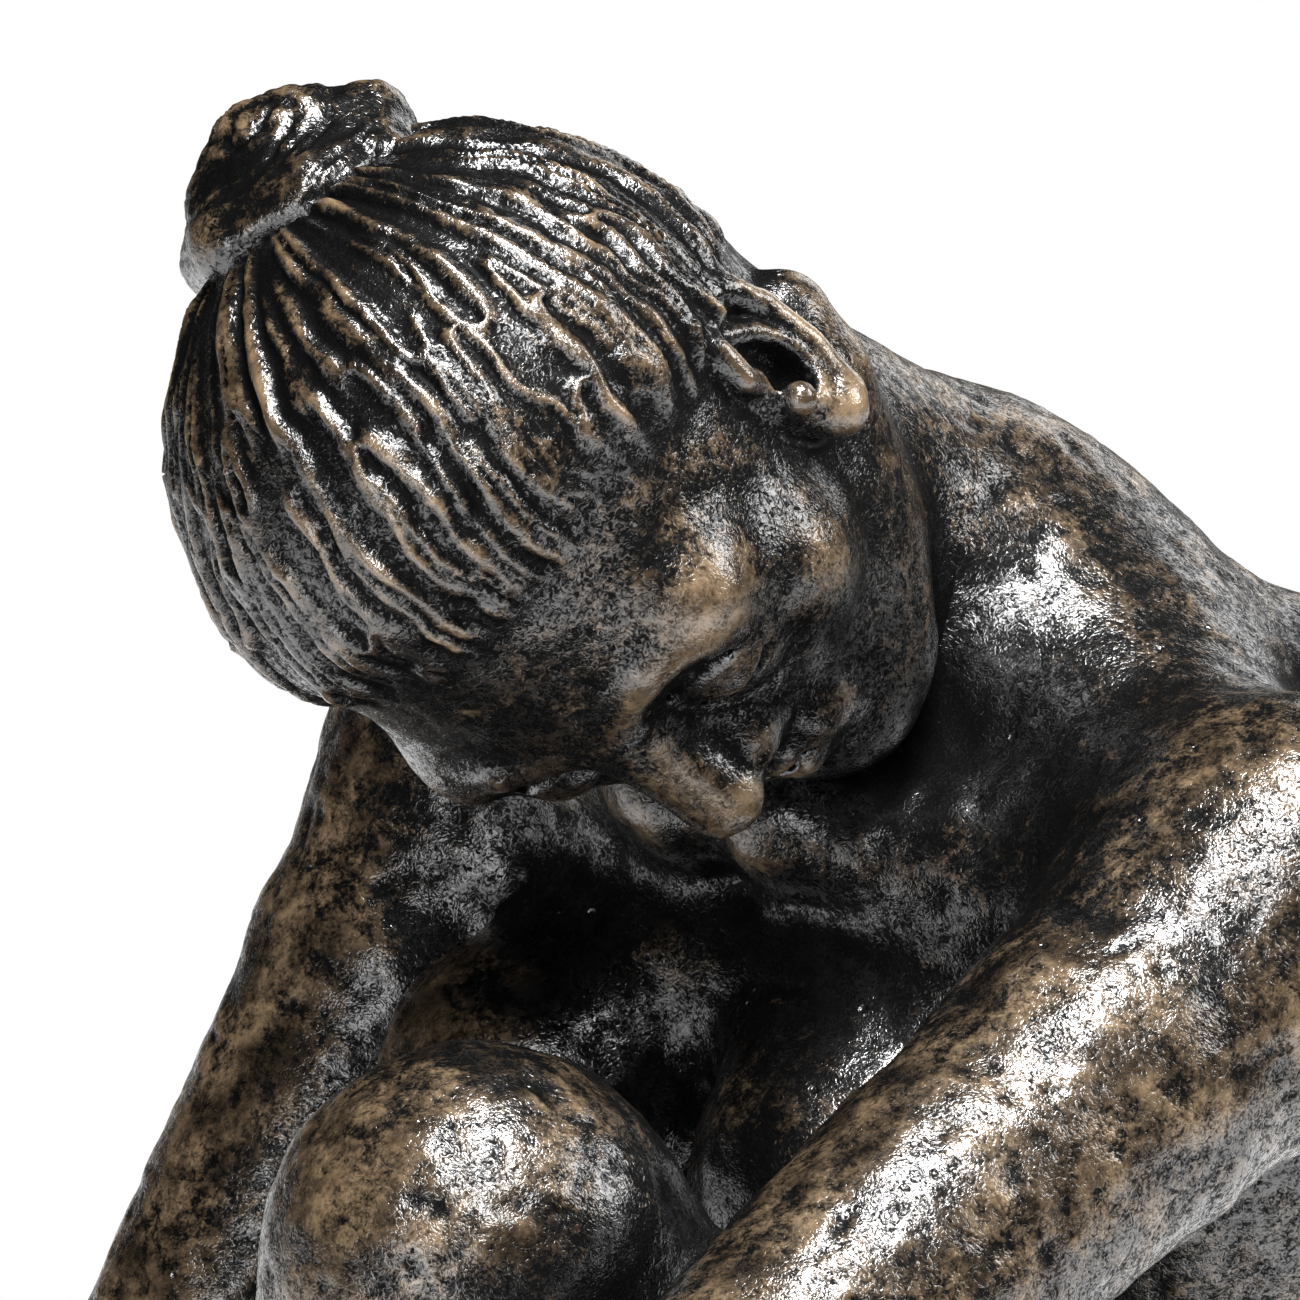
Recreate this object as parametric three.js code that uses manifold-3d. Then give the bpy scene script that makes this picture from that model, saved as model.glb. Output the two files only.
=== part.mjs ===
// Seated figurine: a woman folded over one raised knee, on an oval plinth.
// Cold-cast resin castings, pinned with steel dowels and screwed to the plinth from below.
// Millimetres, +Z up. The figure faces -Y and its left side is +X. Z = 0 is the underside of the felt.

import * as THREE from 'three';
import { mergeVertices } from 'three/addons/utils/BufferGeometryUtils.js';
import Module from 'manifold-3d';

const wasm = await Module();
wasm.setup();

// Plinth and felt
const PLINTH_HALF_WIDTH = 60;
const PLINTH_HALF_LENGTH = 80;
const PLINTH_THICKNESS = 13;
const PLINTH_FOOT_HEIGHT = 3.2;
const PLINTH_COVE_DEPTH = 2.2;
const PLINTH_TOP_ROUND = 2.6;
const PLINTH_EDGE_BREAK = 0.8;
const PLINTH_CURVE_STEPS = 3;
const PLINTH_SIDES = 40;
const FELT_THICKNESS = 1.5;
const FELT_INSET = 4;

// Glue line between castings, and clearance around pins and screws
const GLUE_GAP = 0.3;
const CONTACT_GAP = 0.45;

// Dowels: diameter and length
const NECK_DOWEL = { diameter: 4, length: 16 };
const BUN_DOWEL = { diameter: 2.5, length: 9 };
const SHOULDER_DOWEL = { diameter: 4, length: 17 };
const HIP_DOWEL = { diameter: 5, length: 20 };
const FOOT_DOWEL = { diameter: 2.5, length: 11 };
const DOWEL_SIDES = 12;
const CUT_SIDES = 28;

// Seams: distance from the joint along the limb, and the reach of the cut on each side
const NECK_CUT = { distance: 6.5, stubGirth: 10.4, stubLength: 19, trunkGirth: 12.5 };
const BUN_CUT = { stubGirth: 5, stubLength: 16, trunkGirth: 10 };
const SHOULDER_CUT = { distance: 8, stubGirth: 11, stubLength: 17, trunkGirth: 30 };
const HIP_CUT = { distance: 15, stubGirth: 17.5, stubLength: 16, trunkGirth: 28 };
const STANDING_CUT = { stubGirth: 1, stubLength: 1, trunkGirth: 1 };

// Fixings under the seat
const SCREW_SHANK = 3.5;
const SCREW_REACH = 11;
const SCREW_HEAD = 6.4;
const SCREW_HEAD_HEIGHT = 2.4;
const WASHER_DIAMETER = 9;
const WASHER_THICKNESS = 1;
const WASHER_CURVE_STEPS = 12;
const SCREW_POCKET_DEPTH = 6;
const SCREW_SPREAD = 15;
const BALLAST_DIAMETER = 15;
const BALLAST_LENGTH = 32;
const BALLAST_PLUG_THICKNESS = 3;
const SEAT_BACK = 48;
const SCREW_HEAD_BREAK = 0.6;
const SCREW_POINT = 2;
const WELL_SIDES = 32;
const POCKET_SIDES = 24;
const OVERCUT = 1;

// Surface spacing of each casting
const HEAD_STEP = 2.4;
const BUN_STEP = 2.1;
const TORSO_STEP = 6;
const ARM_STEP = 4.4;
const HAND_STEP = 1.9;
const LEG_STEP = 6;
const FOOT_STEP = 2.7;
const GRID_MARGIN = 1.5;

const plinthBottom = FELT_THICKNESS + GLUE_GAP;
const plinthTop = plinthBottom + PLINTH_THICKNESS;
const bodyFloor = plinthTop + GLUE_GAP;

const at = (x, y, z) => new THREE.Vector3(x, y, z);
const between = (a, b, share) => a.clone().lerp(b, share);

// Bones: places of the joints of the pose
const HEAD_CENTRE = at(6, 10, 129);
const NECK_ROOT = at(6, 37, 119);
const CHEST_TOP = at(6, 42, 109);
const CHEST_MIDDLE = at(6, 49, 93);
const WAIST = at(6, 54, 65);
const PELVIS = at(6, 50, 40);
const LEFT_SHOULDER = at(37, 32, 107.5);
const RIGHT_SHOULDER = at(-18.8, 34.5, 107.5);
const LEFT_ELBOW = at(36, -19, 85);
const RIGHT_ELBOW = at(-25, 4, 59.5);
const LEFT_WRIST = at(18, -35.5, 50);
const RIGHT_WRIST = at(-2, -36, 52);
const LEFT_HIP = at(19, 44, 37);
const RIGHT_HIP = at(-7, 44, 36);
const LEFT_KNEE = at(15.9, -6.7, 93);
const RIGHT_KNEE = at(-44, -20, 24);
const LEFT_ANKLE = at(15, -33, 25);
const RIGHT_ANKLE = at(26, -8, 20.6);

// Girths: half thickness of the flesh at each joint
const NECK_GIRTH = 8.8;
const SHOULDER_GIRTH = 9.6;
const BICEPS_GIRTH = 7.9;
const ELBOW_GIRTH = 6.3;
const FOREARM_GIRTH = 6.6;
const WRIST_GIRTH = 4.2;
const THIGH_GIRTH = 15.5;
const KNEE_GIRTH = 9.8;
const CALF_GIRTH = 9.2;
const ANKLE_GIRTH = 5;
const CHEST_DEPTH = 18;
const WAIST_DEPTH = 13;
const PELVIS_DEPTH = 16.5;
const TORSO_BREADTH = 1.34;
const PELVIS_BREADTH = 1.42;
const FINGER_GIRTH = 2;
const TOE_GIRTH = 2.3;

// Fingers and toes: lengths and spacing
const FINGER_REACH = 8;
const FINGER_CURL = 6.5;
const LITTLE_FINGER_SHARE = 0.8;
const THUMB_LENGTH = 9;
const PALM_BREADTH = 2.1;
const TOE_LENGTH = 10.5;
const TOE_SHORTENING = 1.5;
const TOE_SPACING = 2.7;

// Head carriage: where the crown and the face point
const CROWN_WAY = at(-0.067, -0.961, 0.251).normalize();
const FACE_WAY = at(0.587, -0.239, -0.771).normalize();
const LEFT_EAR_WAY = CROWN_WAY.clone().cross(FACE_WAY).normalize();
const HAIR_EDGE = { front: 0.678, up: 0.735, offset: 1.5 };
const BUN_PLACE = { side: 0, front: -13.1, up: 11.1 };
const BUN_GIRTH = 6.2;
const BUN_ROOT_SHARE = 0.7;
const BUN_SEAT_SHARE = 0.95;

// Soft union of two distances over a melting width
const melt = (a, b, width) => {
  const share = Math.max(width - Math.abs(a - b), 0) / width;
  return Math.min(a, b) - (share * share * width) / 4;
};

// Gives a form the box it lies in, so that a grid can be laid around it
const boxed = (form, ...ends) => {
  const box = new THREE.Box3();
  for (const { centre, half } of ends) {
    box.expandByPoint(centre.clone().add(half)).expandByPoint(centre.clone().sub(half));
  }
  return Object.assign(form, { box });
};
const evenHalf = (size) => at(size, size, size);

// A tapered limb from one point to another. Broad stretches it along a given direction.
const limb = (from, to, girthFrom, girthTo, { swell = 0, broad = 1, along = at(1, 0, 0) } = {}) => {
  const axis = to.clone().sub(from);
  const squash = 1 / broad - 1;
  const flatten = (v) => v.clone().addScaledVector(along, squash * v.dot(along));
  const flatAxis = flatten(axis);
  const length2 = flatAxis.lengthSq();
  const distance = (x, y, z) => {
    const px = x - from.x;
    const py = y - from.y;
    const pz = z - from.z;
    const slide = squash * (px * along.x + py * along.y + pz * along.z);
    const qx = px + slide * along.x;
    const qy = py + slide * along.y;
    const qz = pz + slide * along.z;
    const share = (qx * flatAxis.x + qy * flatAxis.y + qz * flatAxis.z) / length2;
    const t = Math.min(1, Math.max(0, share));
    const girth = girthFrom + (girthTo - girthFrom) * t + swell * 4 * t * (1 - t);
    return Math.hypot(qx - flatAxis.x * t, qy - flatAxis.y * t, qz - flatAxis.z * t) - girth;
  };
  const half = evenHalf(broad * (Math.max(girthFrom, girthTo) + swell));
  return boxed(distance, { centre: from, half }, { centre: to, half });
};

// A ball of flesh, and an egg with three half sizes
const ball = (centre, girth) => {
  const distance = (x, y, z) => Math.hypot(x - centre.x, y - centre.y, z - centre.z) - girth;
  return boxed(distance, { centre, half: evenHalf(girth) });
};

const egg = (centre, half) => {
  const distance = (x, y, z) => {
    const px = (x - centre.x) / half.x;
    const py = (y - centre.y) / half.y;
    const pz = (z - centre.z) / half.z;
    const near = Math.hypot(px, py, pz);
    const slope = Math.hypot(px / half.x, py / half.y, pz / half.z);
    return slope < 1e-9 ? -Math.min(half.x, half.y, half.z) : (near * (near - 1)) / slope;
  };
  return boxed(distance, { centre, half });
};

// Clay: forms pressed on or scooped out one after another
class Clay {
  constructor() {
    this.touches = [];
    this.box = new THREE.Box3();
    this.tipBox = new THREE.Box3();
  }

  // A finger or toe, which needs a finer skin
  pressTip(form, width) {
    this.tipBox.union(form.box);
    return this.press(form, width);
  }

  press(form, width) {
    this.box.union(form.box);
    this.touches.push((d, x, y, z) => melt(d, form(x, y, z), width));
    return this;
  }

  scoop(form, width) {
    this.touches.push((d, x, y, z) => -melt(-d, form(x, y, z), width));
    return this;
  }

  distance(x, y, z) {
    let d = 1e3;
    for (const touch of this.touches) {
      d = touch(d, x, y, z);
    }
    return d;
  }
}

// Head coordinates: side towards the left ear, front along the face, up towards the crown
const headPoint = (side, front, up) =>
  HEAD_CENTRE.clone()
    .addScaledVector(LEFT_EAR_WAY, side)
    .addScaledVector(FACE_WAY, front)
    .addScaledVector(CROWN_WAY, up);

const headMatrix = new THREE.Matrix4().makeBasis(LEFT_EAR_WAY, FACE_WAY, CROWN_WAY).setPosition(HEAD_CENTRE);

const inHead = (form) => {
  const distance = (x, y, z) => {
    const px = x - HEAD_CENTRE.x;
    const py = y - HEAD_CENTRE.y;
    const pz = z - HEAD_CENTRE.z;
    return form(
      px * LEFT_EAR_WAY.x + py * LEFT_EAR_WAY.y + pz * LEFT_EAR_WAY.z,
      px * FACE_WAY.x + py * FACE_WAY.y + pz * FACE_WAY.z,
      px * CROWN_WAY.x + py * CROWN_WAY.y + pz * CROWN_WAY.z,
    );
  };
  return Object.assign(distance, { box: form.box.clone().applyMatrix4(headMatrix) });
};

// Grid lines between two ends, fine inside a zone and coarse outside it
const gridLines = (low, high, step, fineStep = step, fineFrom = high, fineTo = high) => {
  const lines = [low];
  while (lines.at(-1) < high) {
    const here = lines.at(-1);
    const fine = here >= fineFrom && here < fineTo;
    lines.push(here + (fine ? fineStep : step));
  }
  return lines;
};

// Cell numbering: corner bits 1, 2 and 4 stand for x, y and z
const CELL_CORNERS = [0, 1, 2, 3, 4, 5, 6, 7];
const CELL_AXES = [0, 1, 2];
const CELL_EDGES = CELL_CORNERS.flatMap((corner) =>
  CELL_AXES.filter((axis) => (corner & (1 << axis)) === 0).map((axis) => [corner, corner | (1 << axis)]),
);
const CELL_FACES = CELL_AXES.flatMap((axis) => {
  const u = 1 << ((axis + 1) % 3);
  const v = 1 << ((axis + 2) % 3);
  return [0, 1 << axis].map((side) => [side, side | u, side | u | v, side | v]);
});
const SLOPE_STEP = 0.05;
const SETTLE_SHARE = 0.6;
const LEAST_SLOPE = 0.25;
const edgeName = (a, b) => Math.min(a, b) * 8 + Math.max(a, b);

// Groups a cell's crossed edges into separate patches of surface, keeping inside corners apart on a face
const cellPatches = (inside) => {
  const patch = new Map();
  for (const [a, b] of CELL_EDGES) {
    if (inside[a] !== inside[b]) {
      patch.set(edgeName(a, b), edgeName(a, b));
    }
  }
  const link = (first, second) => {
    const [kept, gone] = [patch.get(first), patch.get(second)];
    for (const [edge, owner] of patch) {
      if (owner === gone) {
        patch.set(edge, kept);
      }
    }
  };
  for (const face of CELL_FACES) {
    const sides = face.map((corner, n) => edgeName(corner, face[(n + 1) % 4]));
    const crossed = sides.filter((edge) => patch.has(edge));
    if (crossed.length === 2) {
      link(crossed[0], crossed[1]);
    }
    if (crossed.length === 4) {
      const start = inside[face[0]] ? 0 : 1;
      link(sides[(start + 3) % 4], sides[start]);
      link(sides[start + 1], sides[start + 2]);
    }
  }
  return patch;
};

// Closed skin of a clay field: one point for each patch of surface in a grid cell
const skin = (field, lines, swelling = 0) => {
  const counts = lines.map((line) => line.length);
  const index = ([i, j, k]) => (i * counts[1] + j) * counts[2] + k;
  const place = ([i, j, k]) => at(lines[0][i], lines[1][j], lines[2][k]);
  const shifted = (node, axis, by) => node.map((n, line) => n + (line === axis ? by : 0));
  const value = new Float64Array(counts[0] * counts[1] * counts[2]);
  const cells = [];
  for (let i = 0; i < counts[0]; i += 1) {
    for (let j = 0; j < counts[1]; j += 1) {
      for (let k = 0; k < counts[2]; k += 1) {
        value[index([i, j, k])] = field(lines[0][i], lines[1][j], lines[2][k]) - swelling;
        if (i < counts[0] - 1 && j < counts[1] - 1 && k < counts[2] - 1) {
          cells.push([i, j, k]);
        }
      }
    }
  }
  // Moves a point down the slope of the field onto the surface, within its cell
  const settle = (point, low, high) => {
    const depthAt = (x, y, z) => field(x, y, z) - swelling;
    const here = depthAt(point.x, point.y, point.z);
    const slope = at(
      depthAt(point.x + SLOPE_STEP, point.y, point.z) - here,
      depthAt(point.x, point.y + SLOPE_STEP, point.z) - here,
      depthAt(point.x, point.y, point.z + SLOPE_STEP) - here,
    ).divideScalar(SLOPE_STEP);
    const move = (-SETTLE_SHARE * here) / Math.max(slope.lengthSq(), LEAST_SLOPE);
    return point.addScaledVector(slope, move).clamp(low, high);
  };
  const points = [];
  const patchPoint = new Map();
  for (const cell of cells) {
    const nodes = CELL_CORNERS.map((c) => [cell[0] + (c & 1), cell[1] + ((c >> 1) & 1), cell[2] + (c >> 2)]);
    const depth = nodes.map((node) => value[index(node)]);
    const inside = depth.map((d) => d < 0);
    if (inside.every((state) => state === inside[0])) {
      continue;
    }
    const patch = cellPatches(inside);
    for (const owner of new Set(patch.values())) {
      const sum = at(0, 0, 0);
      let crossings = 0;
      for (const [a, b] of CELL_EDGES) {
        if (patch.get(edgeName(a, b)) === owner) {
          sum.add(place(nodes[a]).lerp(place(nodes[b]), depth[a] / (depth[a] - depth[b])));
          crossings += 1;
          patchPoint.set(index(cell) * 64 + edgeName(a, b), points.length);
        }
      }
      points.push(settle(sum.divideScalar(crossings), place(nodes[0]), place(nodes[7])));
    }
  }
  const isInside = (node) => value[index(node)] < 0;
  const crossing = (a, b) => {
    const [depthA, depthB] = [value[index(a)], value[index(b)]];
    return place(a).lerp(place(b), depthA / (depthA - depthB));
  };
  // A cell face whose inside corners lie crosswise gets a point of its own beside each of them
  const facePoint = new Map();
  const crosswisePoint = (inner, axis, axisBy, side, sideBy) => {
    const along = shifted(inner, axis, axisBy);
    const aside = shifted(inner, side, sideBy);
    if (isInside(aside) || !isInside(shifted(along, side, sideBy))) {
      return [];
    }
    const outer = [index(along), index(aside)].sort((a, b) => a - b);
    const name = `${index(inner)} ${outer[0]} ${outer[1]}`;
    if (!facePoint.has(name)) {
      facePoint.set(name, points.length);
      points.push(crossing(inner, along).lerp(crossing(inner, aside), 0.5));
    }
    return [facePoint.get(name)];
  };
  const triangles = [];
  for (const node of cells) {
    for (const axis of CELL_AXES) {
      const next = shifted(node, axis, 1);
      if (isInside(node) === isInside(next)) {
        continue;
      }
      const u = (axis + 1) % 3;
      const v = (axis + 2) % 3;
      const [inner, axisBy] = isInside(node) ? [node, 1] : [next, -1];
      const around = [[1, 1, v, -1], [0, 1, u, 1], [0, 0, v, 1], [1, 0, u, -1]];
      const ring = around.flatMap(([du, dv, side, sideBy]) => {
        const cell = shifted(shifted(node, u, -du), v, -dv);
        const start = (du << u) | (dv << v);
        const own = patchPoint.get(index(cell) * 64 + edgeName(start, start | (1 << axis)));
        return [own, ...crosswisePoint(inner, axis, axisBy, side, sideBy)];
      });
      if (!isInside(node)) {
        ring.reverse();
      }
      if (ring.length === 4) {
        const [p, q, r, s] = ring;
        const across = points[p].distanceTo(points[r]) <= points[q].distanceTo(points[s]);
        triangles.push(...(across ? [p, q, r, p, r, s] : [p, q, s, q, r, s]));
      } else {
        const middle = points.push(crossing(node, next)) - 1;
        ring.forEach((point, n) => triangles.push(middle, point, ring[(n + 1) % ring.length]));
      }
    }
  }
  const vertProperties = new Float32Array(points.flatMap((p) => [p.x, p.y, p.z]));
  const triVerts = new Uint32Array(triangles);
  return new wasm.Manifold(new wasm.Mesh({ numProp: 3, vertProperties, triVerts }));
};

// Plain geometry to a solid for joining and cutting
const solid = (geometry) => {
  const bare = geometry.clone();
  bare.deleteAttribute('normal');
  bare.deleteAttribute('uv');
  const merged = mergeVertices(bare, 1e-4);
  const vertProperties = new Float32Array(merged.attributes.position.array);
  const triVerts = new Uint32Array(merged.index.array);
  return new wasm.Manifold(new wasm.Mesh({ numProp: 3, vertProperties, triVerts }));
};

const geometryOf = (manifold) => {
  const mesh = manifold.getMesh();
  const geometry = new THREE.BufferGeometry();
  geometry.setAttribute('position', new THREE.BufferAttribute(mesh.vertProperties, mesh.numProp));
  geometry.setIndex(new THREE.BufferAttribute(mesh.triVerts, 1));
  geometry.computeVertexNormals();
  return geometry;
};

// A rod centred on a point along a direction
const rod = (centre, way, diameter, length, sides = DOWEL_SIDES) => {
  const geometry = new THREE.CylinderGeometry(diameter / 2, diameter / 2, length, sides);
  geometry.applyQuaternion(new THREE.Quaternion().setFromUnitVectors(at(0, 1, 0), way));
  geometry.translate(centre.x, centre.y, centre.z);
  return geometry;
};

// A pinned seam: a flat cut across a limb with one dowel through it
class Seam {
  constructor(place, way, dowel, cut) {
    this.place = place;
    this.way = way.clone().normalize();
    this.dowel = dowel;
    this.cut = cut;
  }

  along(distance) {
    return this.place.clone().addScaledVector(this.way, distance);
  }

  pin() {
    return rod(this.place, this.way, this.dowel.diameter, this.dowel.length);
  }

  bore() {
    const { diameter, length } = this.dowel;
    return solid(rod(this.place, this.way, diameter + 2 * GLUE_GAP, length + 2 * GLUE_GAP));
  }

  // What the trunk loses: the limb beyond the cut
  outer() {
    const { stubGirth, stubLength } = this.cut;
    const centre = this.along(stubLength / 2 - GLUE_GAP / 2);
    return solid(rod(centre, this.way, 2 * stubGirth, stubLength, CUT_SIDES));
  }

  // What the limb loses: its root behind the cut
  inner() {
    const depth = 2 * this.cut.trunkGirth;
    const centre = this.along(GLUE_GAP / 2 - depth / 2);
    return solid(rod(centre, this.way, depth, depth, CUT_SIDES));
  }
}

const wayFrom = (a, b) => b.clone().sub(a).normalize();
const seamOn = (from, to, dowel, cut) => {
  const way = wayFrom(from, to);
  return new Seam(from.clone().addScaledVector(way, cut.distance), way, dowel, cut);
};

const skullBase = headPoint(0, -6, -6);
const bunCentre = headPoint(BUN_PLACE.side, BUN_PLACE.front, BUN_PLACE.up);
const bunRoot = between(HEAD_CENTRE, bunCentre, BUN_ROOT_SHARE);
const bunSeat = (BUN_SEAT_SHARE - BUN_ROOT_SHARE) * bunCentre.distanceTo(HEAD_CENTRE);

const neckSeam = seamOn(NECK_ROOT, skullBase, NECK_DOWEL, NECK_CUT);
const bunSeam = seamOn(bunRoot, bunCentre, BUN_DOWEL, { distance: bunSeat, ...BUN_CUT });
const leftShoulderSeam = seamOn(LEFT_SHOULDER, LEFT_ELBOW, SHOULDER_DOWEL, SHOULDER_CUT);
const rightShoulderSeam = seamOn(RIGHT_SHOULDER, RIGHT_ELBOW, SHOULDER_DOWEL, SHOULDER_CUT);
const leftHipSeam = seamOn(LEFT_HIP, LEFT_KNEE, HIP_DOWEL, HIP_CUT);
const rightHipSeam = seamOn(RIGHT_HIP, RIGHT_KNEE, HIP_DOWEL, HIP_CUT);

// Torso: chest, waist, pelvis, shoulder girdle, breasts and the roots of the limbs
const upperArm = (shoulder, elbow) =>
  limb(shoulder, elbow, SHOULDER_GIRTH - 1.4, ELBOW_GIRTH, { swell: 0.9 });
const armRoot = (shoulder, elbow) =>
  limb(shoulder, between(shoulder, elbow, 0.25), SHOULDER_GIRTH - 1, BICEPS_GIRTH);
const thighRoot = (hip, knee) => limb(hip, between(hip, knee, 0.2), THIGH_GIRTH, THIGH_GIRTH - 1.4);
const thigh = (hip, knee) => limb(hip, knee, THIGH_GIRTH, KNEE_GIRTH - 0.6, { swell: 0.6 });
const neck = limb(NECK_ROOT, skullBase, NECK_GIRTH + 0.6, NECK_GIRTH);
const trapeziusRoot = at(6, 41, 114.8);
const trapezius = (shoulder) => limb(trapeziusRoot, shoulder, 9, 7.5);
const trapeziusEnd = (shoulder) => limb(between(trapeziusRoot, shoulder, 0.6), shoulder, 8.1, 7.5);
const buttock = (side) => egg(at(PELVIS.x + side * 12, 50, 29), at(15, 17.5, 17.5));
const saddle = egg(at(PELVIS.x, 47, 28), at(21, 15, 16));
const breast = (side) => egg(at(PELVIS.x - 1.5 + side * 11.5, 23.5, 90.5), at(9.4, 10.4, 9.4));
const pectoral = (side, shoulder) => limb(at(6 + side * 6, 30, 98), shoulder, 8.5, 6.5);
const collarBone = (side, shoulder) => limb(at(6 + side * 4, 23, 109), shoulder, 3, 4);
const shoulderBlade = (side) => egg(at(6 + side * 15, 55, 105), at(9, 8, 11));

const torsoClay = new Clay()
  .press(limb(CHEST_TOP, CHEST_MIDDLE, CHEST_DEPTH - 2.5, CHEST_DEPTH, { broad: TORSO_BREADTH }), 6)
  .press(limb(CHEST_MIDDLE, WAIST, CHEST_DEPTH, WAIST_DEPTH, { broad: TORSO_BREADTH }), 6)
  .press(limb(WAIST, PELVIS, WAIST_DEPTH, PELVIS_DEPTH, { broad: PELVIS_BREADTH }), 8)
  .press(buttock(1), 5)
  .press(buttock(-1), 5)
  .press(saddle, 5)
  .press(shoulderBlade(1), 6)
  .press(shoulderBlade(-1), 6)
  .press(trapezius(LEFT_SHOULDER), 6)
  .press(trapezius(RIGHT_SHOULDER), 6)
  .press(pectoral(1, LEFT_SHOULDER), 6)
  .press(pectoral(-1, RIGHT_SHOULDER), 6)
  .press(collarBone(1, LEFT_SHOULDER), 4)
  .press(collarBone(-1, RIGHT_SHOULDER), 4)
  .press(ball(LEFT_SHOULDER, SHOULDER_GIRTH), 6)
  .press(ball(RIGHT_SHOULDER, SHOULDER_GIRTH), 6)
  .press(armRoot(LEFT_SHOULDER, LEFT_ELBOW), 4)
  .press(armRoot(RIGHT_SHOULDER, RIGHT_ELBOW), 4)
  .press(breast(1), 4)
  .press(breast(-1), 4)
  .press(thighRoot(LEFT_HIP, LEFT_KNEE), 6)
  .press(thighRoot(RIGHT_HIP, RIGHT_KNEE), 6)
  .press(limb(NECK_ROOT, between(NECK_ROOT, skullBase, 0.5), NECK_GIRTH + 0.6, NECK_GIRTH + 0.3), 7)
  .scoop(limb(at(6, 69, 106), at(6, 71, 50), 2.2, 1.6), 6);

// Head: skull, face, ears and the hair combed back to the bun
const hairShell = egg(at(0, -1.3, 4.6), at(15.8, 17.2, 17.2));
const hairLine = (side, front, up) => HAIR_EDGE.front * front - HAIR_EDGE.up * up + HAIR_EDGE.offset;
const combedHair = (side, front, up) => Math.max(hairShell(side, front, up), hairLine(side, front, up));
const hair = Object.assign(combedHair, { box: hairShell.box });

const headClay = new Clay()
  .press(inHead(egg(at(0, -1.2, 4.2), at(14.2, 15.9, 15.6))), 3)
  .press(inHead(egg(at(0, 4.2, -6), at(11, 11.4, 13.6))), 5)
  .press(inHead(limb(at(9, -2, -9.5), at(3, 9.5, -16), 4, 3.6)), 4)
  .press(inHead(limb(at(-9, -2, -9.5), at(-3, 9.5, -16), 4, 3.6)), 4)
  .press(inHead(ball(at(0, 11, -16), 4)), 3)
  .press(inHead(limb(at(8, 11, 2.6), at(-8, 11, 2.6), 3.6, 3.6)), 3)
  .press(inHead(ball(at(8.2, 8.6, -4.4), 4)), 3)
  .press(inHead(ball(at(-8.2, 8.6, -4.4), 4)), 3)
  .scoop(inHead(ball(at(5.9, 17.6, -0.6), 3.8)), 2.5)
  .scoop(inHead(ball(at(-5.9, 17.6, -0.6), 3.8)), 2.5)
  .press(inHead(ball(at(5.9, 11.4, -0.9), 3.7)), 1)
  .press(inHead(ball(at(-5.9, 11.4, -0.9), 3.7)), 1)
  .press(inHead(limb(at(0, 13.6, 2.4), at(0, 17.6, -5), 1.7, 2.3)), 2)
  .press(inHead(ball(at(2.1, 15.2, -5.8), 1.8)), 1.2)
  .press(inHead(ball(at(-2.1, 15.2, -5.8), 1.8)), 1.2)
  .press(inHead(limb(at(3, 13.6, -10.6), at(-3, 13.6, -10.6), 1.9, 1.9)), 1.6)
  .press(inHead(hair), 0.8)
  .press(inHead(egg(at(14.2, 0.2, -2.6), at(2.4, 4.2, 6))), 1)
  .press(inHead(egg(at(-14.2, 0.2, -2.6), at(2.4, 4.2, 6))), 1)
  .scoop(inHead(egg(at(16.6, 1, -1.8), at(2, 2.2, 3.4))), 1)
  .scoop(inHead(egg(at(-16.6, 1, -1.8), at(2, 2.2, 3.4))), 1)
  .press(neck, 5);

// Bun: a knot of two coils on a short root
const inBun = (side, front, up) => at(BUN_PLACE.side + side, BUN_PLACE.front + front, BUN_PLACE.up + up);
const bunClay = new Clay()
  .press(inHead(ball(inBun(0, 0, 0), BUN_GIRTH - 0.6)), 2)
  .press(inHead(limb(inBun(-4.2, -1.6, 0.6), inBun(3.8, -3.2, -1), 3.8, 3.2)), 1.5)
  .press(inHead(limb(inBun(3.6, 2, 3.8), inBun(-2.6, -1.6, 4), 3.4, 3)), 1.5)
  .press(limb(bunRoot, bunCentre, 4.6, 5.6), 2);

// Hands: a palm, four fingers and a thumb
const addHand = (clay, hand) => {
  const palmWay = wayFrom(hand.wrist, hand.knuckles);
  const heel = between(hand.wrist, hand.knuckles, 0.25);
  clay.press(limb(heel, hand.knuckles, 3.4, 2.5, { broad: PALM_BREADTH, along: hand.across }), 2.5);
  const knuckle = (finger) =>
    hand.knuckles.clone().addScaledVector(hand.across, (finger - 1.5) * 2 * (FINGER_GIRTH - 0.2));
  clay.press(limb(knuckle(0), knuckle(3), FINGER_GIRTH, FINGER_GIRTH), 1);
  for (let finger = 0; finger < 4; finger += 1) {
    const shorten = finger === 3 ? LITTLE_FINGER_SHARE : 1;
    const root = knuckle(finger);
    const middle = root.clone().addScaledVector(hand.reach, FINGER_REACH * shorten);
    const tip = middle.clone().addScaledVector(hand.curl, FINGER_CURL * shorten);
    clay.pressTip(limb(root, middle, FINGER_GIRTH, FINGER_GIRTH - 0.15), 0.8);
    clay.pressTip(limb(middle, tip, FINGER_GIRTH - 0.15, FINGER_GIRTH - 0.45), 0.6);
  }
  const thumbRoot = heel.clone().addScaledVector(hand.across, -3.6).addScaledVector(palmWay, 1.5);
  const thumbTip = thumbRoot.clone().addScaledVector(hand.thumb, THUMB_LENGTH);
  clay.pressTip(limb(thumbRoot, thumbTip, 2.5, 1.8), 1.5);
};

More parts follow.
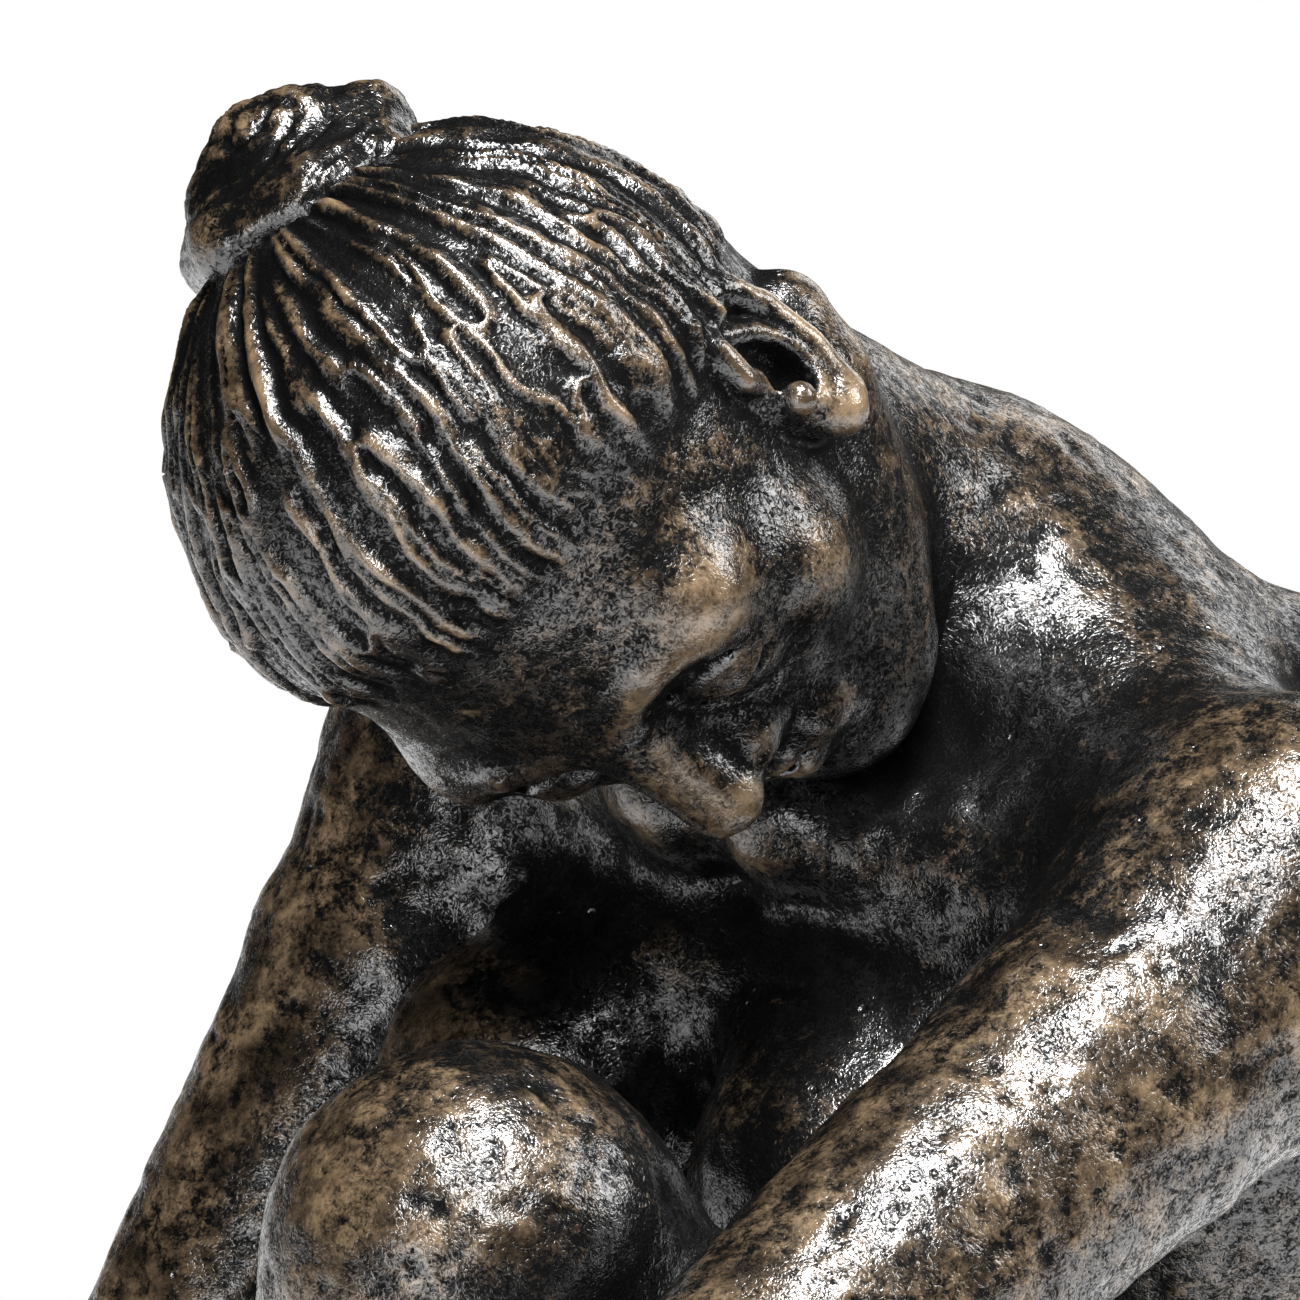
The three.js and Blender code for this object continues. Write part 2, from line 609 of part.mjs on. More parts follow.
const leftHand = {
  wrist: LEFT_WRIST,
  knuckles: at(7.5, -38, 42.5),
  across: at(0.57, 0, -0.82).normalize(),
  reach: at(-0.86, 0.2, -0.47).normalize(),
  curl: at(-0.45, 0.82, -0.3).normalize(),
  thumb: at(-0.75, -0.05, 0.5).normalize(),
};
const rightHand = {
  wrist: RIGHT_WRIST,
  knuckles: at(14, -43.6, 51),
  across: at(0.12, -0.06, -0.98).normalize(),
  reach: at(0.98, 0.12, -0.1).normalize(),
  curl: at(0.5, 0.85, -0.1).normalize(),
  thumb: at(0.75, -0.3, 0.6).normalize(),
};

const armClay = (shoulder, elbow, hand) => {
  const swellPlace = between(elbow, hand.wrist, 0.25);
  const clay = new Clay()
    .press(trapeziusEnd(shoulder), 6)
    .press(ball(shoulder, SHOULDER_GIRTH), 6)
    .press(armRoot(shoulder, elbow), 4)
    .press(upperArm(shoulder, elbow), 4)
    .press(limb(elbow, hand.wrist, ELBOW_GIRTH - 0.3, WRIST_GIRTH), 3)
    .press(ball(swellPlace, FOREARM_GIRTH), 6);
  addHand(clay, hand);
  return clay;
};
const leftArmClay = armClay(LEFT_SHOULDER, LEFT_ELBOW, leftHand);
const rightArmClay = armClay(RIGHT_SHOULDER, RIGHT_ELBOW, rightHand);

// Feet: a heel, an instep and five toes, spread across a given direction
const addFoot = (clay, foot) => {
  clay.press(limb(foot.ankle, foot.heel, ANKLE_GIRTH, ANKLE_GIRTH), 4);
  const { across } = foot;
  clay.press(limb(foot.ankle, foot.ballOfFoot, ANKLE_GIRTH + 0.4, 3.2, { broad: 1.45, along: across }), 4);
  clay.press(limb(foot.heel, foot.ballOfFoot, 4.4, 3.4, { broad: 1.3, along: across }), 3);
  const toeRoot = (toe) => foot.ballOfFoot.clone().addScaledVector(across, (toe - 2) * TOE_SPACING);
  clay.press(limb(toeRoot(0), toeRoot(4), TOE_GIRTH + 0.5, TOE_GIRTH), 1.5);
  for (let toe = 0; toe < 5; toe += 1) {
    const girth = toe === 0 ? TOE_GIRTH + 0.5 : TOE_GIRTH - 0.12 * toe;
    const root = toeRoot(toe);
    const tip = root.clone().addScaledVector(foot.toeWay, TOE_LENGTH - TOE_SHORTENING * toe);
    clay.pressTip(limb(root, tip, girth, girth - 0.35), 0.7);
  }
};

const leftFoot = {
  ankle: LEFT_ANKLE,
  heel: at(15, -29.5, 19.6),
  ballOfFoot: at(15.5, -58, 18.4),
  across: at(1, 0.1, 0).normalize(),
  toeWay: at(-0.03, -0.99, -0.05).normalize(),
};
const rightFoot = {
  ankle: RIGHT_ANKLE,
  heel: at(24.5, -1.5, 19),
  ballOfFoot: at(46, -3, 20.6),
  across: at(0.1, 0.35, -0.93).normalize(),
  toeWay: at(0.97, 0.24, -0.02).normalize(),
};

const legClay = (hip, knee, foot, calfOut, side) => {
  const calf = between(knee, foot.ankle, 0.3).addScaledVector(calfOut, 2.6);
  const clay = new Clay()
    .press(buttock(side), 5)
    .press(thigh(hip, knee), 6)
    .press(ball(knee, KNEE_GIRTH), 5)
    .press(limb(knee, foot.ankle, KNEE_GIRTH - 1.6, ANKLE_GIRTH, { swell: 0.4 }), 5)
    .press(limb(calf, between(calf, foot.ankle, 0.45), CALF_GIRTH, ANKLE_GIRTH + 1), 5);
  addFoot(clay, foot);
  return clay;
};
const leftLegClay = legClay(LEFT_HIP, LEFT_KNEE, leftFoot, at(0, 0.93, -0.36), 1);
const rightLegClay = legClay(RIGHT_HIP, RIGHT_KNEE, rightFoot, at(0.1, 0.95, 0.1), -1);

const read = (clay) => (x, y, z) => clay.distance(x, y, z);

// Grid lines around a clay, finer around its hand or foot
const linesAround = (clay, step, fineStep, fineBox) => {
  const margin = GRID_MARGIN * step + CONTACT_GAP;
  return ['x', 'y', 'z'].map((axis) => {
    const low = clay.box.min[axis] - margin;
    const high = clay.box.max[axis] + margin;
    if (!fineBox) {
      return gridLines(low, high, step);
    }
    return gridLines(low, high, step, fineStep, fineBox.min[axis] - step, fineBox.max[axis] + fineStep);
  });
};
const headLines = linesAround(headClay, HEAD_STEP);
const bunLines = linesAround(bunClay, BUN_STEP);
const torsoLines = linesAround(torsoClay, TORSO_STEP);
const leftArmLines = linesAround(leftArmClay, ARM_STEP, HAND_STEP, leftArmClay.tipBox);
const rightArmLines = linesAround(rightArmClay, ARM_STEP, HAND_STEP, rightArmClay.tipBox);
const leftLegLines = linesAround(leftLegClay, LEG_STEP, FOOT_STEP, leftLegClay.tipBox);
const rightLegLines = linesAround(rightLegClay, LEG_STEP, FOOT_STEP, rightLegClay.tipBox);

// The ground side of the castings is faced flat
const floorCut = (() => {
  const depth = 30;
  const slab = new THREE.BoxGeometry(400, 400, depth);
  slab.translate(0, 0, bodyFloor - depth / 2);
  return solid(slab);
})();

// Room that a neighbour leaves around a limb, up to its seam
const roomFor = (clay, lines, seam) => skin(read(clay), lines, CONTACT_GAP).subtract(seam.inner());
const headRoom = roomFor(headClay, headLines, neckSeam);
const bunRoom = roomFor(bunClay, bunLines, bunSeam);
const leftArmRoom = roomFor(leftArmClay, leftArmLines, leftShoulderSeam);
const rightArmRoom = roomFor(rightArmClay, rightArmLines, rightShoulderSeam);
const leftLegRoom = roomFor(leftLegClay, leftLegLines, leftHipSeam);
const rightLegRoom = roomFor(rightLegClay, rightLegLines, rightHipSeam);
const torsoWhole = skin(read(torsoClay), torsoLines);

const uprightRod = (x, y, low, high, diameter, sides = DOWEL_SIDES) =>
  rod(at(x, y, (low + high) / 2), at(0, 0, 1), diameter, high - low, sides);

// Seat fixings and ballast well
const seat = at(PELVIS.x, SEAT_BACK, bodyFloor);
const ballastTop = bodyFloor + GLUE_GAP + BALLAST_PLUG_THICKNESS + GLUE_GAP + BALLAST_LENGTH;
const wellDiameter = BALLAST_DIAMETER + 2 * GLUE_GAP;
const ballastWell = solid(
  uprightRod(seat.x, seat.y, bodyFloor - OVERCUT, ballastTop + GLUE_GAP, wellDiameter, WELL_SIDES),
);
const pocketTop = plinthBottom + SCREW_POCKET_DEPTH;
const screwTop = plinthTop + SCREW_REACH;
const screwX = [seat.x + SCREW_SPREAD, seat.x - SCREW_SPREAD];
const screwHole = (x) =>
  solid(uprightRod(x, seat.y, plinthBottom - OVERCUT, screwTop + GLUE_GAP, SCREW_SHANK + 2 * GLUE_GAP));
const pocketDiameter = WASHER_DIAMETER + 2 * GLUE_GAP;
const screwPocket = (x) =>
  solid(uprightRod(x, seat.y, plinthBottom - OVERCUT, pocketTop, pocketDiameter, POCKET_SIDES));

// Foot dowels stand in the plinth
const standingSeam = ({ x, y }) => new Seam(at(x, y, plinthTop), at(0, 0, 1), FOOT_DOWEL, STANDING_CUT);
const leftFootSeam = standingSeam(leftFoot.heel);
const rightKneeSeam = standingSeam(RIGHT_KNEE);

// Castings
const torso = torsoWhole
  .subtract(neckSeam.outer())
  .subtract(leftShoulderSeam.outer())
  .subtract(rightShoulderSeam.outer())
  .subtract(leftHipSeam.outer())
  .subtract(rightHipSeam.outer())
  .subtract(floorCut)
  .subtract(headRoom)
  .subtract(leftArmRoom)
  .subtract(rightArmRoom)
  .subtract(leftLegRoom)
  .subtract(rightLegRoom)
  .subtract(neckSeam.bore())
  .subtract(leftShoulderSeam.bore())
  .subtract(rightShoulderSeam.bore())
  .subtract(leftHipSeam.bore())
  .subtract(rightHipSeam.bore())
  .subtract(ballastWell)
  .subtract(screwHole(screwX[0]))
  .subtract(screwHole(screwX[1]));

const head = skin(read(headClay), headLines)
  .subtract(neckSeam.inner())
  .subtract(bunSeam.outer())
  .subtract(bunRoom)
  .subtract(neckSeam.bore())
  .subtract(bunSeam.bore());

const bun = skin(read(bunClay), bunLines).subtract(bunSeam.inner()).subtract(bunSeam.bore());

const leftLeg = skin(read(leftLegClay), leftLegLines)
  .subtract(leftHipSeam.inner())
  .subtract(floorCut)
  .subtract(leftHipSeam.bore())
  .subtract(leftFootSeam.bore());

const rightLeg = skin(read(rightLegClay), rightLegLines)
  .subtract(rightHipSeam.inner())
  .subtract(floorCut)
  .subtract(leftLegRoom)
  .subtract(rightHipSeam.bore())
  .subtract(rightKneeSeam.bore());

const leftArm = skin(read(leftArmClay), leftArmLines)
  .subtract(leftShoulderSeam.inner())
  .subtract(leftLegRoom)
  .subtract(leftShoulderSeam.bore());

const rightArm = skin(read(rightArmClay), rightArmLines)
  .subtract(rightShoulderSeam.inner())
  .subtract(leftLegRoom)
  .subtract(leftArmRoom)
  .subtract(rightShoulderSeam.bore());

// Plinth: an oval turned by stretching a revolve
const plinthProfile = () => {
  const edge = PLINTH_HALF_WIDTH;
  const points = [new THREE.Vector2(0, plinthBottom)];
  points.push(new THREE.Vector2(edge - PLINTH_EDGE_BREAK, plinthBottom));
  points.push(new THREE.Vector2(edge, plinthBottom + PLINTH_EDGE_BREAK));
  points.push(new THREE.Vector2(edge, plinthBottom + PLINTH_FOOT_HEIGHT));
  const coveTop = plinthTop - PLINTH_TOP_ROUND;
  for (let step = 1; step <= PLINTH_CURVE_STEPS; step += 1) {
    const turn = (step / PLINTH_CURVE_STEPS) * (Math.PI / 2);
    const rise = (coveTop - plinthBottom - PLINTH_FOOT_HEIGHT) * (1 - Math.cos(turn));
    const inward = PLINTH_COVE_DEPTH * Math.sin(turn);
    points.push(new THREE.Vector2(edge - inward, plinthBottom + PLINTH_FOOT_HEIGHT + rise));
  }
  for (let step = 1; step <= PLINTH_CURVE_STEPS; step += 1) {
    const turn = (step / PLINTH_CURVE_STEPS) * (Math.PI / 2);
    const inward = PLINTH_COVE_DEPTH + PLINTH_TOP_ROUND * (1 - Math.cos(turn));
    points.push(new THREE.Vector2(edge - inward, coveTop + PLINTH_TOP_ROUND * Math.sin(turn)));
  }
  points.push(new THREE.Vector2(0, plinthTop));
  return points;
};
const plinthTurning = new THREE.LatheGeometry(plinthProfile(), PLINTH_SIDES);
plinthTurning.rotateX(Math.PI / 2);
plinthTurning.scale(1, PLINTH_HALF_LENGTH / PLINTH_HALF_WIDTH, 1);
const plinth = solid(plinthTurning)
  .subtract(screwHole(screwX[0]))
  .subtract(screwHole(screwX[1]))
  .subtract(screwPocket(screwX[0]))
  .subtract(screwPocket(screwX[1]))
  .subtract(leftFootSeam.bore())
  .subtract(rightKneeSeam.bore());

const feltOutline = new THREE.Shape();
feltOutline.absellipse(0, 0, PLINTH_HALF_WIDTH - FELT_INSET, PLINTH_HALF_LENGTH - FELT_INSET, 0, 2 * Math.PI);
const felt = new THREE.ExtrudeGeometry(feltOutline, {
  depth: FELT_THICKNESS,
  bevelEnabled: false,
  curveSegments: PLINTH_SIDES / 2,
});

// Screw with a flat head, one piece turned in profile
const screwTurning = () => {
  const headLow = pocketTop - WASHER_THICKNESS - 2 * GLUE_GAP - SCREW_HEAD_HEIGHT;
  const headHigh = headLow + SCREW_HEAD_HEIGHT;
  const profile = [
    [0, headLow],
    [SCREW_HEAD / 2 - SCREW_HEAD_BREAK, headLow],
    [SCREW_HEAD / 2, headLow + SCREW_HEAD_BREAK],
    [SCREW_HEAD / 2, headHigh],
    [SCREW_SHANK / 2, headHigh],
    [SCREW_SHANK / 2, screwTop - SCREW_POINT],
    [0, screwTop],
  ];
  const turned = new THREE.LatheGeometry(profile.map(([r, h]) => new THREE.Vector2(r, h)), DOWEL_SIDES);
  turned.rotateX(Math.PI / 2);
  return turned;
};
const washerTurning = () => {
  const low = pocketTop - GLUE_GAP - WASHER_THICKNESS;
  const inner = SCREW_SHANK / 2 + GLUE_GAP;
  const ring = new THREE.Shape();
  ring.absarc(0, 0, WASHER_DIAMETER / 2, 0, 2 * Math.PI);
  const hole = new THREE.Path();
  hole.absarc(0, 0, inner, 0, 2 * Math.PI, true);
  ring.holes.push(hole);
  const plate = new THREE.ExtrudeGeometry(ring, {
    depth: WASHER_THICKNESS,
    bevelEnabled: false,
    curveSegments: WASHER_CURVE_STEPS,
  });
  plate.translate(0, 0, low);
  return plate;
};
const plugLow = bodyFloor + GLUE_GAP;
const plugHigh = plugLow + BALLAST_PLUG_THICKNESS;
const wellRod = (low, high) => uprightRod(seat.x, seat.y, low, high, BALLAST_DIAMETER, WELL_SIDES);

// Finishes
const finish = (color, roughness, metalness) => () =>
  new THREE.MeshStandardMaterial({ color, roughness, metalness });
const bronzed = finish(0x3b342c, 0.38, 0.35);
const plinthFinish = finish(0x2c2723, 0.42, 0.3);
const steel = finish(0x9a9da1, 0.35, 1);
const iron = finish(0x4a4a4c, 0.6, 0.9);
const felted = finish(0x1f241f, 0.95, 0);
const resin = finish(0x5a5148, 0.7, 0);

const group = new THREE.Group();
group.name = 'seated_figure';

const place = (name, geometry, makeFinish, x = 0, y = 0) => {
  const mesh = new THREE.Mesh(geometry, makeFinish());
  mesh.name = name;
  mesh.position.set(x, y, 0);
  group.add(mesh);
};

place('base_felt', felt, felted);
place('plinth', geometryOf(plinth), plinthFinish);
place('torso', geometryOf(torso), bronzed);
place('head', geometryOf(head), bronzed);
place('hair_bun', geometryOf(bun), bronzed);
place('left_arm', geometryOf(leftArm), bronzed);
place('right_arm', geometryOf(rightArm), bronzed);
place('left_leg', geometryOf(leftLeg), bronzed);
place('right_leg', geometryOf(rightLeg), bronzed);
place('neck_pin', neckSeam.pin(), steel);
place('bun_pin', bunSeam.pin(), steel);
place('left_shoulder_pin', leftShoulderSeam.pin(), steel);
place('right_shoulder_pin', rightShoulderSeam.pin(), steel);
place('left_hip_pin', leftHipSeam.pin(), steel);
place('right_hip_pin', rightHipSeam.pin(), steel);
place('left_foot_pin', leftFootSeam.pin(), steel);
place('right_knee_pin', rightKneeSeam.pin(), steel);
place('seat_screw_left', screwTurning(), steel, screwX[0], seat.y);
place('seat_screw_right', screwTurning(), steel, screwX[1], seat.y);
place('seat_washer_left', washerTurning(), steel, screwX[0], seat.y);
place('seat_washer_right', washerTurning(), steel, screwX[1], seat.y);
place('ballast', wellRod(plugHigh + GLUE_GAP, ballastTop), iron);
place('ballast_plug', wellRod(plugLow, plugHigh), resin);

export default group;
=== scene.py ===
"""Seated figurine in bronze-finish resin: sculpted as clay, parted into castings, painted and varnished."""

import logging
import math
from dataclasses import dataclass, field
from enum import Enum
from typing import Callable, Iterator

import bpy
import numpy as np
import openvdb
from mathutils import Matrix, Vector


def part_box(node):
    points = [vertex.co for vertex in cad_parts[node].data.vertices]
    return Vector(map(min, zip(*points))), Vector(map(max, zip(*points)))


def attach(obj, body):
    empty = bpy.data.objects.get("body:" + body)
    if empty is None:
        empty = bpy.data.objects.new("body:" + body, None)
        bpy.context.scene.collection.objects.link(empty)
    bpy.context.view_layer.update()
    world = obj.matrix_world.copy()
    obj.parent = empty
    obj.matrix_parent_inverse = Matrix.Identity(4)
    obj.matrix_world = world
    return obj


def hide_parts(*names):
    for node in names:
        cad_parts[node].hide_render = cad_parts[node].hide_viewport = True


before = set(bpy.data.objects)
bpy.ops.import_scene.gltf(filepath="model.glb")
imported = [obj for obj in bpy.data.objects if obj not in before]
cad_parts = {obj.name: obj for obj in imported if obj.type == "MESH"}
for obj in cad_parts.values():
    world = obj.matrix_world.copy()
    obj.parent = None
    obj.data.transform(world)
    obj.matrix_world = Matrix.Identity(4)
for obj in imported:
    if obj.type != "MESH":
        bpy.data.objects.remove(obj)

LOG = logging.getLogger("figurine")
MM = 0.001
FAR = 1e3
TINY = 1e-6
CORNERS = tuple(np.array([n & 1, (n >> 1) & 1, n >> 2]) for n in range(8))
Triple = tuple[float, float, float]
Array = np.ndarray
Form = Callable[[Array], Array]
Object = bpy.types.Object
Material = bpy.types.Material
Tree = bpy.types.NodeTree
Socket = bpy.types.NodeSocket


def vec(values: Triple) -> Array:
    """A point or direction as an array."""
    return np.asarray(values, dtype=np.float32)


def unit(values: Triple) -> Array:
    """A direction of length one."""
    raw = np.asarray(values, dtype=np.float64)
    return (raw / np.linalg.norm(raw)).astype(np.float32)


def between(a: Triple, b: Triple, share: float) -> Array:
    """The point that lies a share of the way from a to b."""
    return vec(a) + (vec(b) - vec(a)) * share


def lengths(rows: Array) -> Array:
    """The length of each row of an array of vectors."""
    return np.sqrt(np.einsum("ij,ij->i", rows, rows))


def melt(a: Array, b: Array, width: float | Array) -> Array:
    """Soft union of two distances over a melting width."""
    share = np.maximum(width - np.abs(a - b), 0) / width
    return np.minimum(a, b) - share * share * (width / 4)


def fade(values: Array, low: float, high: float) -> Array:
    """A smooth step from 0 at low to 1 at high."""
    share = np.clip((values - low) / (high - low), 0, 1)
    return share * share * (3 - 2 * share)


def grid_cells(counts: Array | tuple[int, ...]) -> Array:
    """The place of every cell in a grid, one row each."""
    return np.ascontiguousarray(np.indices(counts).reshape(3, -1).T)


def corner_shares(part: Array) -> Iterator[tuple[Array, Array]]:
    """Each corner of a grid cell, with its share at points inside the cell."""
    for corner in CORNERS:
        yield corner, np.prod(np.where(corner == 1, part, 1 - part), axis=1)


def linked(name: str, data: bpy.types.ID) -> Object:
    """A new object in the scene."""
    obj = bpy.data.objects.new(name, data)
    bpy.context.scene.collection.objects.link(obj)
    return obj


def write_masks(mesh: bpy.types.Mesh, masks: dict[str, Array]) -> None:
    """Keeps a value of each point as an attribute, for the paint to read."""
    for title, values in masks.items():
        layer = mesh.attributes.new(title, "FLOAT", "POINT")
        layer.data.foreach_set("value", values.astype(np.float32))


@dataclass(frozen=True)
class Limb:
    """A tapered limb between two points, stretched by broad along a direction."""

    start: Triple
    end: Triple
    girth_start: float
    girth_end: float
    swell: float = 0.0
    broad: float = 1.0
    along: Triple = (1.0, 0.0, 0.0)

    def __call__(self, points: Array) -> Array:
        """Distance of each point from the limb."""
        offset = points - vec(self.start)
        axis = vec(self.end) - vec(self.start)
        if self.broad != 1.0:
            along = vec(self.along)
            squash = np.float32(1 / self.broad - 1)
            offset = offset + squash * (offset @ along)[:, None] * along
            axis = axis + squash * (axis @ along) * along
        share = np.clip(offset @ axis / (axis @ axis), 0, 1)
        girth = self.girth_start + (self.girth_end - self.girth_start) * share
        girth = girth + self.swell * 4 * share * (1 - share)
        return lengths(offset - share[:, None] * axis) - girth


@dataclass(frozen=True)
class Ball:
    """A ball of flesh."""

    centre: Triple
    girth: float

    def __call__(self, points: Array) -> Array:
        """Distance of each point from the ball."""
        return lengths(points - vec(self.centre)) - self.girth


@dataclass(frozen=True)
class Egg:
    """An egg with three half sizes."""

    centre: Triple
    half: Triple

    def __call__(self, points: Array) -> Array:
        """First-order distance of each point from the egg."""
        part = (points - vec(self.centre)) / vec(self.half)
        near = lengths(part)
        slope = np.maximum(lengths(part / vec(self.half)), TINY)
        return near * (near - 1) / slope


@dataclass(frozen=True)
class Cord:
    """A bent cord through points, with a girth at each."""

    path: tuple[Triple, ...]
    girths: tuple[float, ...]

    def __call__(self, points: Array) -> Array:
        """Distance of each point from the cord."""
        depth = np.full(len(points), FAR, np.float32)
        for n in range(len(self.path) - 1):
            part = Limb(self.path[n], self.path[n + 1], self.girths[n], self.girths[n + 1])
            depth = np.minimum(depth, part(points))
        return depth


@dataclass(frozen=True)
class Frame:
    """A local frame with its axes as rows."""

    origin: Array
    axes: Array

    def local(self, points: Array) -> Array:
        """World points in this frame."""
        return (points - self.origin) @ self.axes.T

    def world(self, x: float, y: float, z: float) -> Array:
        """A point of this frame in the world."""
        return self.origin + vec((x, y, z)) @ self.axes

    def place(self, form: Form) -> Form:
        """A form given in this frame, as a form in the world."""
        return lambda points: form(self.local(points))


class Clay:
    """Forms pressed on or scooped out one after another."""

    def __init__(self, base: Form | None = None) -> None:
        """Starts from nothing, or from another form."""
        self.base = base
        self.touches: list[tuple[Form, float | Form, bool]] = []

    def press(self, form: Form, width: float | Form) -> "Clay":
        """Melts a form on, over a width that may change from place to place."""
        self.touches.append((form, width, True))
        return self

    def scoop(self, form: Form, width: float) -> "Clay":
        """Takes a form out with a soft edge."""
        self.touches.append((form, width, False))
        return self

    def __call__(self, points: Array) -> Array:
        """Distance of each point from the clay's skin."""
        depth = self.base(points) if self.base else np.full(len(points), FAR, np.float32)
        for form, width, adds in self.touches:
            other = form(points)
            over = width(points) if callable(width) else width
            depth = melt(depth, other, over) if adds else -melt(-depth, other, over)
        return depth


class Noise:
    """Smooth noise that repeats exactly, from hashed lattice values."""

    SIZE = 4096
    STRIDES = (73856093, 19349663, 83492791)

    def __init__(self, seed: int) -> None:
        """Draws the lattice values."""
        self.values = np.random.default_rng(seed).uniform(-1, 1, self.SIZE).astype(np.float32)

    def __call__(self, points: Array) -> Array:
        """Noise from -1 to 1 at points in lattice units."""
        cell = np.floor(points).astype(np.int64)
        part = (points - cell).astype(np.float32)
        total = np.zeros(len(points), np.float32)
        for corner, share in corner_shares(part * part * (3 - 2 * part)):
            key = (cell + corner) * np.array(self.STRIDES)
            total += share * self.values[(key[:, 0] ^ key[:, 1] ^ key[:, 2]) % self.SIZE]
        return total


@dataclass
class Surface:
    """A closed quad skin in millimetres."""

    points: Array
    quads: Array

    def normals(self) -> Array:
        """Unit normals at the points."""
        corner = self.points[self.quads]
        facing = np.cross(corner[:, 2] - corner[:, 0], corner[:, 3] - corner[:, 1])
        total = np.zeros_like(self.points, dtype=np.float64)
        for side in range(4):
            for axis in range(3):
                total[:, axis] += np.bincount(self.quads[:, side], facing[:, axis], len(self.points))
        return (total / np.maximum(lengths(total), TINY**2)[:, None]).astype(np.float32)

    def edges(self) -> Array:
        """The skin's edges, each once."""
        pairs = np.concatenate([self.quads[:, [n, (n + 1) % 4]] for n in range(4)])
        return np.unique(np.sort(pairs, axis=1), axis=0)

    def outer(self) -> "Surface":
        """The largest shell alone, without bubbles inside the flesh."""
        edges = self.edges()
        shell = np.arange(len(self.points))
        settled = False
        while not settled:
            lowest = shell.copy()
            np.minimum.at(lowest, edges[:, 0], shell[edges[:, 1]])
            np.minimum.at(lowest, edges[:, 1], shell[edges[:, 0]])
            lowest = lowest[lowest]
            settled = np.array_equal(lowest, shell)
            shell = lowest
        kept = shell == np.bincount(shell).argmax()
        place = np.cumsum(kept) - 1
        return Surface(self.points[kept], place[self.quads[kept[self.quads[:, 0]]]])

    def raised(self, rounds: int) -> Array:
        """How far each point stands proud of the smoothed skin, in millimetres."""
        edges = self.edges()
        count = np.maximum(np.bincount(edges.ravel(), minlength=len(self.points)), 1)
        smooth = self.points.astype(np.float64)
        for _ in range(rounds):
            total = np.empty_like(smooth)
            for axis in range(3):
                total[:, axis] = np.bincount(edges[:, 0], smooth[edges[:, 1], axis], len(smooth))
                total[:, axis] += np.bincount(edges[:, 1], smooth[edges[:, 0], axis], len(smooth))
            smooth = total / count[:, None]
        return np.einsum("ij,ij->i", self.points - smooth, self.normals())

    def mesh(self, name: str, masks: dict[str, Array]) -> Object:
        """The skin as a smooth mesh object in metres, with its masks as point attributes."""
        mesh = bpy.data.meshes.new(name)
        mesh.vertices.add(len(self.points))
        mesh.vertices.foreach_set("co", (self.points * MM).astype(np.float32).ravel())
        mesh.loops.add(self.quads.size)
        mesh.loops.foreach_set("vertex_index", self.quads.astype(np.int32).ravel())
        mesh.polygons.add(len(self.quads))
        mesh.polygons.foreach_set("loop_start", np.arange(0, self.quads.size, 4, dtype=np.int32))
        mesh.update(calc_edges=True)
        mesh.validate()
        mesh.shade_smooth()
        write_masks(mesh, masks)
        return linked(name, mesh)


@dataclass(frozen=True)
class GridSkin:
    """Skins a distance field on a grid that is fine only near the surface."""

    low: Array
    high: Array
    grain: float
    fan: int = 4
    slack: float = 1.7
    half_diagonal: float = 0.87
    band: float = 3.0

    def skin(self, form: Form) -> Surface:
        """The form's closed skin.

        Args:
            form: distance field in millimetres.

        Returns:
            A quad surface with its points on the field.
        """
        size = self.grain * self.fan * self.fan
        counts = np.ceil((self.high - self.low) / size).astype(int)
        depth = self._read(form, grid_cells(counts), size).reshape(counts)
        spread = grid_cells((self.fan,) * 3)
        for _ in range(2):
            near = np.argwhere(np.abs(depth) < self.half_diagonal * size * self.slack)
            cells = (near[:, None, :] * self.fan + spread).reshape(-1, 3)
            size /= self.fan
            for axis in range(3):
                depth = np.repeat(depth, self.fan, axis=axis)
            depth[tuple(cells.T)] = self._read(form, cells, size)
        limit = self.band * self.grain
        grid = openvdb.FloatGrid(limit)
        grid.copyFromArray(np.clip(depth, -limit, limit))
        points, quads = grid.convertToQuads(0.0)
        points = (self.low + (points + 0.5) * self.grain).astype(np.float32)
        return Surface(points, quads.astype(np.int64))

    def _read(self, form: Form, cells: Array, size: float) -> Array:
        """The field at the middles of grid cells."""
        return form((self.low + (cells + 0.5) * size).astype(np.float32))


class Room:
    """A distance field kept on a coarse grid, for quick readings."""

    RIM = 1.001

    def __init__(self, form: Form, low: Triple, high: Triple, step: float) -> None:
        """Reads the form once at every grid point."""
        self.low, self.step = vec(low), step
        counts = np.ceil((vec(high) - self.low) / step).astype(int)
        self.depth = form((self.low + grid_cells(counts) * step).astype(np.float32)).reshape(counts)

    def __call__(self, points: Array) -> Array:
        """The field at points, between the grid's readings."""
        place = np.clip((points - self.low) / self.step, 0, np.array(self.depth.shape) - self.RIM)
        cell = place.astype(int)
        total = np.zeros(len(points))
        for corner, share in corner_shares(place - cell):
            total += share * self.depth[tuple((cell + corner).T)]
        return total


class Side(Enum):
    """The figure's own left and right."""

    LEFT = 1
    RIGHT = -1

    @property
    def word(self) -> str:
        """The side's name in node names."""
        return self.name.lower()


def both(left: Triple, right: Triple) -> dict[Side, Triple]:
    """A dataclass field with a place for each side."""
    return field(default_factory=lambda: {Side.LEFT: left, Side.RIGHT: right})


